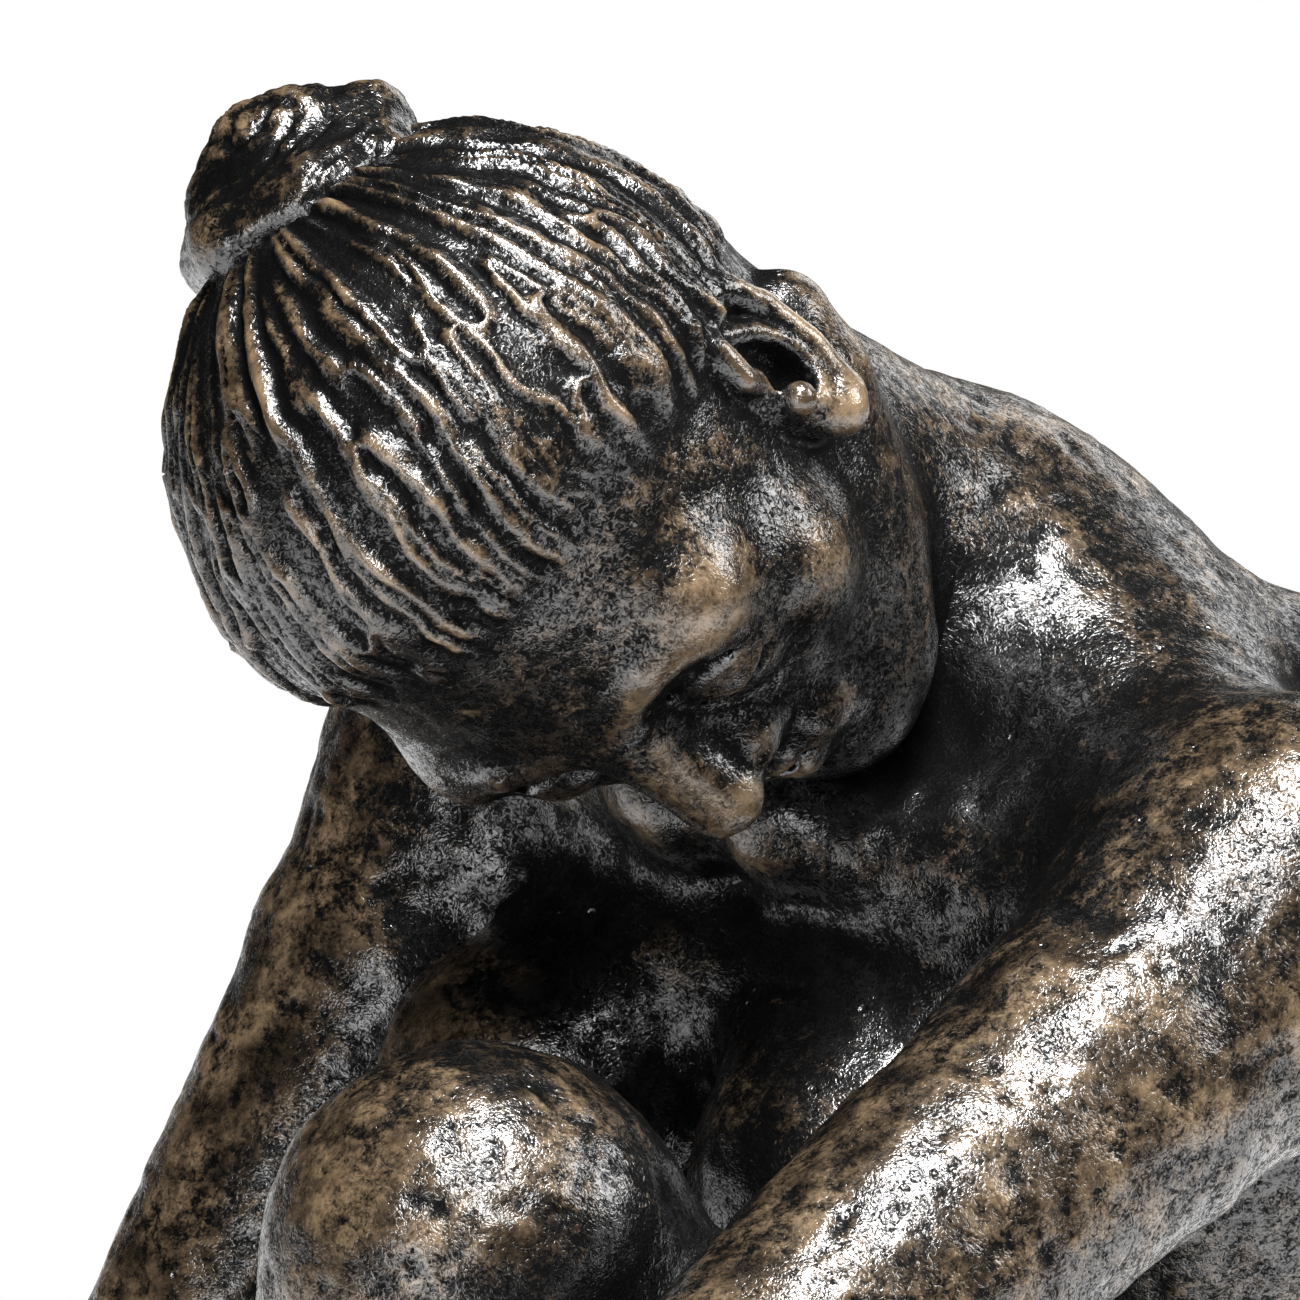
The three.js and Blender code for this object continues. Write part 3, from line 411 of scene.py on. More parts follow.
@dataclass(frozen=True)
class Pose:
    """Places of the joints, in millimetres."""

    head: Triple = (6, 10, 129)
    neck_root: Triple = (6, 37, 119)
    chest_top: Triple = (6, 42, 109)
    chest_middle: Triple = (6, 49, 93)
    waist: Triple = (6, 54, 65)
    pelvis: Triple = (6, 50, 40)
    shoulder: dict[Side, Triple] = both((37, 32, 107.5), (-18.8, 34.5, 107.5))
    elbow: dict[Side, Triple] = both((36, -19, 85), (-25, 4, 59.5))
    wrist: dict[Side, Triple] = both((18, -35.5, 50), (-2, -36, 52))
    hip: dict[Side, Triple] = both((19, 44, 37), (-7, 44, 36))
    knee: dict[Side, Triple] = both((15.9, -6.7, 93), (-44, -20, 24))
    ankle: dict[Side, Triple] = both((15, -33, 25), (26, -8, 20.6))
    crown_way: Triple = (-0.067, -0.961, 0.251)
    face_way: Triple = (0.587, -0.239, -0.771)

    def head_frame(self) -> Frame:
        """Head coordinates: side towards the left ear, front along the face, up to the crown."""
        crown = unit(self.crown_way)
        side = unit(np.cross(crown, unit(self.face_way)))
        front = unit(np.cross(side, crown))
        return Frame(vec(self.head), np.stack([side, front, crown]))

    def skull_base(self) -> Array:
        """Where the neck enters the skull."""
        return self.head_frame().world(0, -6, -6)


@dataclass(frozen=True)
class Girths:
    """Half thickness of the flesh, in millimetres."""

    neck: float = 8.8
    shoulder: float = 9.6
    biceps: float = 7.9
    elbow: float = 6.3
    forearm: float = 6.6
    wrist: float = 4.2
    thigh: float = 15.5
    knee: float = 9.8
    calf: float = 9.2
    ankle: float = 5.0
    chest: float = 18.0
    waist: float = 13.0
    pelvis: float = 16.5
    chest_breadth: float = 1.34
    pelvis_breadth: float = 1.42
    finger: float = 2.0
    toe: float = 2.3


@dataclass(frozen=True)
class Seam:
    """A flat cut across a limb."""

    place: Array
    way: Array
    breadth: float = 34.0
    own_from: float = 1.5
    own_to: float = 9.0

    @classmethod
    def along(cls, start: Triple, end: Triple, distance: float) -> "Seam":
        """A seam at a distance from one point towards another."""
        way = unit(vec(end) - vec(start))
        return cls(vec(start) + way * distance, way)

    def beyond(self, points: Array) -> Array:
        """How far each point lies on the limb's side of the cut, or aside of it."""
        offset = points - self.place
        ahead = offset @ self.way
        aside = lengths(offset - ahead[:, None] * self.way)
        return np.maximum(ahead, aside - self.breadth)

    def share(self, points: Array) -> Array:
        """How far each point belongs to the limb alone, from 0 at the cut to 1."""
        return fade(self.beyond(points), self.own_from, self.own_to)


@dataclass(frozen=True)
class Joining:
    """A melting width that dies away beyond a seam."""

    seam: Seam
    width: float
    least: float = 0.2

    def __call__(self, points: Array) -> Array:
        """The width at each point."""
        return self.width + (self.least - self.width) * self.seam.share(points)


POSE = Pose()
GIRTHS = Girths()
LUMPS = Noise(11)
LOCKS = Noise(23)
HEAD_FRAME = POSE.head_frame()
BUN_PLACE = (0, -13.1, 11.1)
NECK_CUT, SHOULDER_CUT, HIP_CUT = 6.5, 8, 15
NECK_SEAM = Seam.along(POSE.neck_root, POSE.skull_base(), NECK_CUT)
SHOULDER_SEAMS = {side: Seam.along(POSE.shoulder[side], POSE.elbow[side], SHOULDER_CUT) for side in Side}
HIP_SEAMS = {side: Seam.along(POSE.hip[side], POSE.knee[side], HIP_CUT) for side in Side}


@dataclass(frozen=True)
class Trunk:
    """Chest, waist, pelvis, shoulders, neck, upper arms and thighs as one piece of clay."""

    spine_x: float = 6.0

    def clay(self) -> Clay:
        """The melted trunk that the castings are parted from."""
        g, p = GIRTHS, POSE
        clay = Clay()
        broad = g.chest_breadth
        clay.press(Limb(p.chest_top, p.chest_middle, g.chest - 2.5, g.chest, broad=broad), 6)
        clay.press(Limb(p.chest_middle, p.waist, g.chest, g.waist, broad=broad), 6)
        clay.press(Limb(p.waist, p.pelvis, g.waist, g.pelvis, broad=g.pelvis_breadth), 8)
        x = self.spine_x
        for side in Side:
            clay.press(Egg((x + side.value * 12, 50, 29), (15, 17.5, 17.5)), 5)
        clay.press(Egg((x, 47, 28), (21, 15, 16)), 5)
        for side in Side:
            clay.press(Egg((x + side.value * 15, 55, 105), (9, 8, 11)), 6)
        for side in Side:
            clay.press(Limb((x, 41, 114.8), p.shoulder[side], 9, 7.5), 6)
        for side in Side:
            clay.press(Limb((x + side.value * 6, 30, 98), p.shoulder[side], 8.5, 6.5), 6)
        for side in Side:
            clay.press(Limb((x + side.value * 4, 23, 109), p.shoulder[side], 3, 4), 4)
        for side in Side:
            clay.press(Ball(p.shoulder[side], g.shoulder), 6)
        for side in Side:
            clay.press(Egg((x - 1.5 + side.value * 11.5, 23.5, 90.5), (9.4, 10.4, 9.4)), 4)
        for side in Side:
            for form in self.upper_arm(side):
                clay.press(form, Joining(SHOULDER_SEAMS[side], 4))
        for side in Side:
            clay.press(self.thigh(side), Joining(HIP_SEAMS[side], 6))
        clay.press(self.neck(), Joining(NECK_SEAM, 7))
        for side in Side:
            clay.press(self.neck_cord(side), Joining(NECK_SEAM, 4))
        clay.scoop(Limb((x, 69, 106), (x, 71, 50), 2.2, 1.6), 6)
        return clay

    def upper_arm(self, side: Side) -> tuple[Limb, Limb]:
        """The arm's root and the upper arm."""
        g, shoulder, elbow = GIRTHS, POSE.shoulder[side], POSE.elbow[side]
        root = Limb(shoulder, between(shoulder, elbow, 0.25), g.shoulder - 1, g.biceps)
        return root, Limb(shoulder, elbow, g.shoulder - 1.4, g.elbow, swell=0.9)

    def thigh(self, side: Side) -> Limb:
        """The thigh down to the knee."""
        return Limb(POSE.hip[side], POSE.knee[side], GIRTHS.thigh, GIRTHS.knee - 0.6, swell=0.6)

    def neck(self) -> Limb:
        """The neck up to the skull."""
        return Limb(POSE.neck_root, POSE.skull_base(), GIRTHS.neck + 0.6, GIRTHS.neck)

    def neck_cord(self, side: Side) -> Limb:
        """The muscle from behind the ear to the pit of the throat."""
        mastoid = HEAD_FRAME.world(side.value * 10.5, -5, -8.5)
        return Limb(mastoid, (self.spine_x + side.value * 3, 24, 109), 2.4, 2.0)


BODY = Trunk()
TRUNK = BODY.clay()


@dataclass
class Casting:
    """One resin casting of the figure."""

    node: str
    grain: float
    reach: float = 2.6
    least_reach: float = 0.15
    plug: float = 2.0
    taper: float = 0.15
    margin: float = 4.0
    feelers: Triple = (2.0, 7.0, 16.0)
    fine_reach: float = 0.9
    broad_reach: float = 2.4
    lump_height: float = 0.13
    knob_height: float = 0.085
    dent_depth: float = 0.35
    dent_level: float = 0.42

    def form(self) -> Form:
        """The casting's distance field."""
        return self.parted()

    def own(self) -> Form:
        """The flesh that belongs to this casting alone."""
        raise NotImplementedError

    def seam(self) -> Seam:
        """The cut that parts this casting from the trunk."""
        raise NotImplementedError

    def region(self) -> Form:
        """Negative inside the space that this casting takes from the trunk."""
        own, seam = self.own(), self.seam()

        def taken(points: Array) -> Array:
            """The space of the casting, with its reach, beyond the seam."""
            reach = self.reach + (self.least_reach - self.reach) * seam.share(points)
            return np.maximum(own(points) - reach, -seam.beyond(points))

        return taken

    def parted(self) -> Form:
        """This casting's own flesh, turning into the trunk's at the seam and dipping under it beyond."""
        own, seam, region = self.own(), self.seam(), self.region()

        def cut(points: Array) -> Array:
            """The casting's distance field."""
            share, outside = seam.share(points), region(points)
            joined = own(points) * share + TRUNK(points) * (1 - share)
            return np.maximum(joined + self.taper * np.maximum(outside, 0), outside - self.plug)

        return cut

    def relief(self, points: Array) -> Array:
        """Height of the tool marks and casting lumps over the skin, in millimetres."""
        swirl = points + 0.8 * np.stack([LUMPS(points * 0.35 + n * 31.7) for n in range(3)], 1)
        lumps = self.lump_height * LUMPS(swirl * 0.42 + 7.1) + self.knob_height * LUMPS(swirl * 0.95 + 3.3)
        dents = np.maximum(LUMPS(swirl * 0.7 + 17.9) - self.dent_level, 0)
        return lumps - self.dent_depth * dents

    def build(self, figure: Form) -> Object:
        """Skins, textures and measures the casting.

        Args:
            figure: distance field of the whole figure, for how closely other flesh closes over each point.

        Returns:
            The casting's mesh object.
        """
        low, high = (np.array(corner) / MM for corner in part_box(self.node))
        surface = GridSkin(low - self.margin, high + self.margin, self.grain).skin(self.form()).outer()
        normals = surface.normals()
        surface.points = surface.points + normals * self.relief(surface.points)[:, None]
        # Painted shade as well as dry-brush reach: this share is low where other flesh closes over the skin,
        # so the paint keeps hollows and places between parts dark.
        unshaded_reach_share = np.zeros(len(surface.points))
        for step in self.feelers:
            unshaded_reach_share += np.clip(figure(surface.points + step * normals) / step, 0, 1) / len(self.feelers)
        fine = surface.raised(max(2, round((self.fine_reach / self.grain) ** 2)))
        broad = surface.raised(max(4, round((self.broad_reach / self.grain) ** 2)))
        masks = {"fine": fine, "broad": broad, "open": unshaded_reach_share, "hair": self.hair(surface.points)}
        LOG.info("%s: %d points", self.node, len(surface.points))
        return surface.mesh(self.node, masks)

    def hair(self, points: Array) -> Array:
        """Share of hair at each point."""
        return np.zeros(len(points), np.float32)

    def dress(self, obj: Object, material: Material) -> None:
        """Paints the casting and puts it in the frame."""
        settle_piece(obj, self.node, material)


def settle_piece(obj: Object, node: str, material: Material) -> None:
    """Gives a piece its material and its place in the frame."""
    obj.data.materials.append(material)
    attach(obj, "root")
    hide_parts(node)
    LOG.info("placed %s", node)


@dataclass
class Head(Casting):
    """Skull, face, ears, combed hair and upper neck."""

    node: str = "head"
    grain: float = 0.285
    skull_half: Triple = (14.2, 15.9, 15.6)
    hair_centre: Triple = (0, -1.3, 4.6)
    hair_half: Triple = (15.8, 17.2, 17.2)
    hair_edge: Triple = (0.678, -0.735, 1.5)
    hairline_wave: float = 0.8
    hairline_slope: float = 0.6
    hairline_melt: float = 3.0
    hairline_fade: tuple[float, float] = (-0.6, 1.6)
    cap_fade: tuple[float, float] = (-3.2, -1.4)
    bun_way: Triple = BUN_PLACE
    lock_count: float = 92.0
    groove_depth: float = 0.6
    sways: tuple[Triple, ...] = ((0.07, 0.14, 9.7), (0.03, 0.4, 2.9), (0.012, 1.0, 5.1))
    least_slope: float = 0.04
    skin_share: float = 0.4
    neck_reach: float = 4.5
    ear_lean: float = 20.0
    ear_seat: Triple = (12.7, 0.8, -2.2)

    def seam(self) -> Seam:
        """The neck's cut."""
        return NECK_SEAM

    def edge(self, local: Array) -> Array:
        """Negative on the hair's side of the hairline."""
        front, up, offset = self.hair_edge
        wave = self.hairline_wave * LOCKS(local * 0.45 + 4.2)
        return front * local[:, 1] + up * local[:, 2] + offset + wave

    def hair_form(self) -> Form:
        """The cap of hair, thinning towards the hairline."""
        shell = Egg(self.hair_centre, self.hair_half)
        slope, width = self.hairline_slope, self.hairline_melt
        return lambda local: -melt(-shell(local), -self.edge(local) * slope, width)

    def ear(self, side: Side) -> Form:
        """An ear with its rim, fold, hollow and lobe, in head coordinates."""
        s = side.value
        lean = math.radians(self.ear_lean)
        out = unit((s * 0.96, -0.28, 0))
        up = unit((0, -math.sin(lean), math.cos(lean)))
        up = unit(up - out * (up @ out))
        back = unit(np.cross(up, out))
        back = back if back[1] < 0 else -back
        side_place, front_place, up_place = self.ear_seat
        seat = Frame(vec((s * side_place, front_place, up_place)), np.stack([back, out, up]))
        rim = Cord(
            (
                (-1.2, 0.9, 0.4), (-2.3, 1.5, 2.4), (-1.4, 2.1, 4.7), (0.9, 2.5, 5.4),
                (2.9, 2.7, 3.8), (3.2, 2.6, 0.8), (2.3, 2.1, -2.2), (0.7, 1.4, -4.6),
            ),
            (0.6, 0.75, 0.85, 0.9, 0.9, 0.85, 0.85, 1.0),
        )
        fold = Cord(
            ((0.4, 1.7, 3.2), (1.5, 1.9, 1.4), (1.5, 1.8, -0.6), (0.6, 1.5, -2.4), (-0.9, 1.3, -2.7)),
            (0.6, 0.7, 0.75, 0.7, 0.6),
        )
        clay = Clay()
        clay.press(Egg((0.4, 0.0, 0.2), (3.0, 2.0, 5.2)), 1)
        clay.press(rim, 0.9)
        clay.press(Ball((-0.4, 0.8, -4.6), 1.5), 1.2)
        clay.scoop(Egg((0.4, 3.0, 2.4), (1.8, 2.2, 2.2)), 0.6)
        clay.press(fold, 0.5)
        clay.scoop(Egg((-0.3, 1.4, -0.4), (1.5, 2.6, 2.0)), 0.5)
        clay.press(Ball((-2.0, 1.5, -1.2), 0.95), 0.6)
        return seat.place(clay)

    def face(self, clay: Clay) -> None:
        """Presses a calm, plain face with closed eyes."""
        for s in (1, -1):
            clay.press(Limb((s * 9, -2, -9.5), (s * 3, 9.5, -16), 4, 3.6), 4)
        clay.press(Ball((0, 11, -16), 4), 3)
        clay.press(Limb((8, 11, 2.6), (-8, 11, 2.6), 3.6, 3.6), 3)
        for s in (1, -1):
            clay.press(Ball((s * 8.2, 8.6, -4.4), 4), 3)
        for s in (1, -1):
            clay.scoop(Ball((s * 5.9, 17.6, -0.6), 3.8), 2.5)
        for s in (1, -1):
            clay.press(Ball((s * 5.9, 11.4, -0.9), 3.7), 1)
            lash = (
                (s * 2.9, 13.6, -1.6), (s * 4.5, 14.7, -2.3), (s * 6.4, 14.9, -2.5), (s * 8.6, 13.7, -1.8),
            )
            clay.scoop(Cord(lash, (0.2, 0.42, 0.42, 0.2)), 0.4)
            lid = ((s * 3.2, 14.0, 0.5), (s * 5.0, 14.6, 1.1), (s * 7.0, 14.4, 1.1), (s * 8.7, 13.3, 0.2))
            clay.scoop(Cord(lid, (0.2, 0.3, 0.3, 0.2)), 0.5)
            brow = ((s * 2.6, 14.7, 3.6), (s * 5.6, 14.6, 4.6), (s * 9.2, 12.3, 3.6))
            clay.press(Cord(brow, (0.7, 0.75, 0.4)), 1.6)
        clay.press(Limb((0, 13.6, 2.4), (0, 17.6, -5), 1.7, 2.3), 2)
        for s in (1, -1):
            clay.press(Ball((s * 2.1, 15.2, -5.8), 1.8), 1.2)
            clay.scoop(Ball((s * 1.3, 16.6, -7.4), 0.65), 0.5)
        clay.press(Limb((3, 13.2, -10.6), (-3, 13.2, -10.6), 2.0, 2.0), 1.8)
        for s in (1, -1):
            clay.press(Limb((0, 15.0, -9.9), (s * 3.6, 13.7, -10.5), 0.9, 0.5), 0.8)
            clay.press(Limb((0, 14.7, -12.0), (s * 3.0, 13.8, -11.4), 1.15, 0.6), 0.8)
            clay.scoop(Limb((0, 15.5, -10.9), (s * 4.0, 14.1, -10.9), 0.42, 0.26), 0.4)
        clay.scoop(Limb((0, 16.2, -7.8), (0, 16.3, -9.2), 0.4, 0.5), 0.8)

    def flesh(self) -> Clay:
        """The head in its own coordinates."""
        clay = Clay()
        clay.press(Egg((0, -1.2, 4.2), self.skull_half), 3)
        clay.press(Egg((0, 4.2, -6), (11, 11.4, 13.6)), 5)
        self.face(clay)
        clay.press(self.hair_form(), 0.8)
        for side in Side:
            clay.press(self.ear(side), 0.7)
        return clay

    def own(self) -> Form:
        """The head with its neck."""
        return Clay(HEAD_FRAME.place(self.flesh())).press(BODY.neck(), 5)

    def region(self) -> Form:
        """Negative in the upper neck and wherever the face needs room."""
        flesh, stub = HEAD_FRAME.place(self.flesh()), self.stub()
        return lambda points: np.minimum(stub(points), flesh(points) - self.least_reach)

    def stub(self) -> Form:
        """Negative in the neck beyond its seam."""
        neck = BODY.neck()
        return lambda points: np.maximum(neck(points) - self.neck_reach, -NECK_SEAM.beyond(points))

    def form(self) -> Form:
        """The head melted onto the neck and cut at its seam."""
        own, neck, stub = self.own(), BODY.neck(), self.stub()

        def cut(points: Array) -> Array:
            """The head's distance field."""
            outside = stub(points)
            root = np.maximum(NECK_SEAM.beyond(points) + self.plug, neck(points) - self.neck_reach)
            joined = TRUNK(points) + self.taper * np.maximum(outside, 0)
            return melt(np.maximum(own(points), -root), np.maximum(joined, outside - self.plug), 1.0)

        return cut

    def hair(self, points: Array) -> Array:
        """Share of hair at each point."""
        local = HEAD_FRAME.local(points)
        cap = Egg(self.hair_centre, self.hair_half)(local)
        return fade(-self.edge(local), *self.hairline_fade) * fade(cap, *self.cap_fade)

    def strands(self, points: Array) -> Array:
        """Height of the combed locks that run from the hairline to the bun."""
        local = HEAD_FRAME.local(points) - vec(self.hair_centre)
        pole = unit(self.bun_way)
        out = local / np.maximum(lengths(local), TINY)[:, None]
        swept = np.arccos(np.clip(out @ pole, -1, 1))
        turn = np.arctan2(out @ np.cross(pole, unit((1, 0, 0))), out[:, 0])
        for sway, scale, seed in self.sways:
            turn = turn + sway * LOCKS(local * scale + seed)
        ring = self.lock_count / (2 * math.pi)
        girth = np.maximum(self.hair_half[2] * np.sin(swept), 1.0)
        probe = self.grain * 0.8

        def ridges(share: float, stretch: float, seed: float, width: float) -> Array:
            """Narrow ridges of one width, where a noise wound around the bun crosses zero."""
            around = ring * share

            def wave(angle: Array) -> Array:
                """The noise at an angle around the bun."""
                lattice = np.stack([around * np.cos(angle), around * np.sin(angle), stretch * swept], 1)
                return LOCKS(lattice + seed)

            slope = np.abs(wave(turn + probe / girth) - wave(turn - probe / girth)) / (2 * probe)
            away = np.abs(wave(turn)) / np.maximum(slope, self.least_slope)
            return np.exp(-((away / width) ** 2)) * fade(girth / around, 1.6 * self.grain, 3.2 * self.grain)

        broad = ridges(share=0.5, stretch=1.1, seed=5.3, width=0.62)
        fine = ridges(share=0.95, stretch=1.9, seed=41.7, width=0.42)
        hairs = ridges(share=1.6, stretch=2.6, seed=88.1, width=0.3)
        worn = 0.75 + 0.5 * LOCKS(local * 0.5 + 33.3)
        return self.groove_depth * (worn * np.maximum(broad, 0.85 * fine) + 0.3 * hairs - 0.5)

    def relief(self, points: Array) -> Array:
        """Skin relief on the face, combed locks on the hair."""
        share = self.hair(points)
        return self.skin_share * super().relief(points) + share * self.strands(points)


@dataclass
class Bun(Casting):
    """The knot of hair: coils wound around a core."""

    node: str = "hair_bun"
    grain: float = 0.24
    place: Triple = BUN_PLACE
    girth: float = 6.2
    root_share: float = 0.7
    seat_share: float = 0.95
    seat_depth: float = 3.0
    crest: float = 0.05
    groove_depth: float = 0.2
    hair_depth: float = 0.08
    coils: tuple[tuple[tuple[Triple, ...], tuple[float, ...]], ...] = (
        (((-4.8, 1.2, 1.6), (-4.9, 2.8, -1.8), (-1.2, 3.6, -4.6), (3.2, 2.8, -3.6), (4.8, 1.4, -0.2)),
         (2.0, 2.6, 2.7, 2.4, 1.8)),
        (((4.7, 1.6, 0.6), (3.4, 3.0, 3.4), (-0.2, 3.9, 4.5), (-3.6, 3.2, 3.4), (-5.0, 1.8, 1.0)),
         (1.9, 2.5, 2.6, 2.4, 1.8)),
        (((-2.9, 5.0, -1.8), (-0.4, 6.2, 0.4), (2.3, 5.6, 1.8)), (2.0, 2.5, 1.9)),
    )

    def axes(self) -> tuple[Array, Array]:
        """The directions of the stem and across it."""
        stem = unit(self.place)
        return stem, unit(np.cross(vec((1, 0, 0)), stem))

    def inside(self, side: float, out: float, rise: float) -> Array:
        """A point of the knot: out along its stem, rise towards the face."""
        stem, across = self.axes()
        return vec(self.place) + vec((side, 0, 0)) + stem * out + across * rise

    def seam(self) -> Seam:
        """The seat on the head."""
        far = HEAD_FRAME.world(*self.place)
        return Seam.along(POSE.head, far, float(self.seat_share * np.linalg.norm(far - vec(POSE.head))))

    def own(self) -> Form:
        """The wound knot."""
        root = tuple(vec(self.place) * self.root_share)
        clay = Clay().press(Limb(root, self.place, 4.6, 5.4), 2)
        clay.press(Ball(tuple(self.inside(0, 2.0, 0)), self.girth - 0.9), 2)
        for coil, girths in self.coils:
            clay.press(Cord(tuple(tuple(self.inside(*point)) for point in coil), girths), 1.3)
        return HEAD_FRAME.place(clay)

    def form(self) -> Form:
        """The knot, cut at its seat."""
        own, seam = self.own(), self.seam()
        return lambda points: np.maximum(own(points), -seam.beyond(points) - self.seat_depth)

    def hair(self, points: Array) -> Array:
        """The whole knot is hair."""
        return np.ones(len(points), np.float32)

    def relief(self, points: Array) -> Array:
        """Twisted grooves around the knot."""
        local = HEAD_FRAME.local(points) - vec(self.place)
        stem, across = self.axes()
        wound = np.arctan2(local @ across, local[:, 0])
        spread = lengths(np.stack([local @ across, local[:, 0]], 1)) - local @ stem + 0.5 * wound
        lattice = np.stack([spread * 0.55, np.cos(wound) * 0.6, np.sin(wound) * 0.6], 1)
        lattice = lattice + 0.4 * LOCKS(local * 0.35 + 6.6)[:, None]
        groove = np.exp(-((LOCKS(lattice + 12.3) / 0.2) ** 2))
        fine = np.exp(-((LOCKS(lattice * 1.9 + 71.1) / 0.25) ** 2))
        return self.crest - self.groove_depth * groove - self.hair_depth * fine + super().relief(points)


@dataclass(frozen=True)
class Hand:
    """A hand's directions."""

    knuckles: Triple
    across: Triple
    reach: Triple
    curl: Triple
    thumb: Triple
    finger_reach: float = 8.0
    finger_curl: float = 6.5
    little_share: float = 0.8
    finger_overlap: float = 0.2
    thumb_length: float = 9.0
    thumb_aside: float = 3.6
    thumb_ahead: float = 1.5
    palm_breadth: float = 2.1
    palm_girths: tuple[float, float] = (3.4, 2.5)
    thumb_girths: tuple[float, float] = (2.5, 1.8)

    def press_on(self, clay: Clay, wrist: Triple) -> None:
        """Melts the palm, fingers and thumb onto a forearm."""
        across, reach, curl = unit(self.across), unit(self.reach), unit(self.curl)
        girth = GIRTHS.finger
        heel = between(wrist, self.knuckles, 0.25)
        clay.press(Limb(heel, self.knuckles, *self.palm_girths, 0.0, self.palm_breadth, tuple(across)), 2.5)
        for finger in range(4):
            share = self.little_share if finger == 3 else 1.0
            root = vec(self.knuckles) + across * ((finger - 1.5) * 2 * (girth - self.finger_overlap))
            middle = root + reach * (self.finger_reach * share)
            tip = middle + curl * (self.finger_curl * share)
            clay.press(Ball(root + reach * 0.6, girth + 0.12), 1.0)
            clay.press(Limb(root, middle, girth, girth - 0.15), 0.7)
            clay.press(Limb(middle, tip, girth - 0.15, girth - 0.45), 0.5)
        palm_way = unit(vec(self.knuckles) - vec(wrist))
        thumb_root = heel - across * self.thumb_aside + palm_way * self.thumb_ahead
        thumb_tip = thumb_root + unit(self.thumb) * self.thumb_length
        clay.press(Limb(thumb_root, thumb_tip, *self.thumb_girths), 1.5)


HANDS = {
    Side.LEFT: Hand(
        knuckles=(7.5, -38, 42.5), across=(0.57, 0, -0.82), reach=(-0.86, 0.2, -0.47),
        curl=(-0.45, 0.82, -0.3), thumb=(-0.75, -0.05, 0.5),
    ),
    Side.RIGHT: Hand(
        knuckles=(14, -43.6, 51), across=(0.12, -0.06, -0.98), reach=(0.98, 0.12, -0.1),
        curl=(0.5, 0.85, -0.1), thumb=(0.75, -0.3, 0.6),
    ),
}


@dataclass
class Arm(Casting):
    """Upper arm, forearm and hand."""

    side: Side = Side.LEFT
    elbow_point: float = 3.0

    def seam(self) -> Seam:
        """The shoulder's cut."""
        return SHOULDER_SEAMS[self.side]

    def lower(self, clay: Clay) -> Clay:
        """Melts the forearm and hand on."""
        elbow, wrist = POSE.elbow[self.side], POSE.wrist[self.side]
        clay.press(Limb(elbow, wrist, GIRTHS.elbow - 0.3, GIRTHS.wrist), 3)
        clay.press(Ball(between(elbow, wrist, 0.25), GIRTHS.forearm), 6)
        bend = unit(vec(elbow) - between(POSE.shoulder[self.side], wrist, 0.5))
        clay.press(Ball(vec(elbow) + bend * self.elbow_point, 3.6), 3)
        HANDS[self.side].press_on(clay, wrist)
        return clay

    def own(self) -> Form:
        """The arm alone."""
        root, upper = BODY.upper_arm(self.side)
        return self.lower(Clay().press(root, 4).press(upper, 4))


@dataclass(frozen=True)
class Foot:
    """A foot's places and directions."""

    heel: Triple
    ball: Triple
    across: Triple
    toe_way: Triple
    toe_length: float = 10.5
    toe_shortening: float = 1.5
    toe_spacing: float = 2.7
    ankle_knob: float = 4.2

    def press_on(self, clay: Clay, ankle: Triple) -> None:
        """Melts the heel, instep and toes onto a shin."""
        across, toe_way = unit(self.across), unit(self.toe_way)
        clay.press(Limb(ankle, self.heel, GIRTHS.ankle, GIRTHS.ankle), 4)
        clay.press(Limb(ankle, self.ball, GIRTHS.ankle + 0.4, 3.2, broad=1.45, along=tuple(across)), 4)
        clay.press(Limb(self.heel, self.ball, 4.4, 3.4, broad=1.3, along=tuple(across)), 3)
        for s in (1, -1):
            clay.press(Ball(vec(ankle) + across * (s * self.ankle_knob), 1.9), 2)
        for toe in range(5):
            girth = GIRTHS.toe + 0.5 if toe == 0 else GIRTHS.toe - 0.12 * toe
            root = vec(self.ball) + across * ((toe - 2) * self.toe_spacing)
            tip = root + toe_way * (self.toe_length - self.toe_shortening * toe)
            clay.press(Limb(root, tip, girth, girth - 0.35), 0.7)


FEET = {
    Side.LEFT: Foot((15, -29.5, 19.6), (15.5, -58, 18.4), (1, 0.1, 0), (-0.03, -0.99, -0.05)),
    Side.RIGHT: Foot((24.5, -1.5, 19), (46, -3, 20.6), (0.1, 0.35, -0.93), (0.97, 0.24, -0.02)),
}
FLOOR_OF_BODY = 15.1
SEAT_SPREAD = 15
FIGURE_LOW = (-64, -84, 8)
FIGURE_HIGH = (64, 84, 156)
OPEN_STEP = 2.0


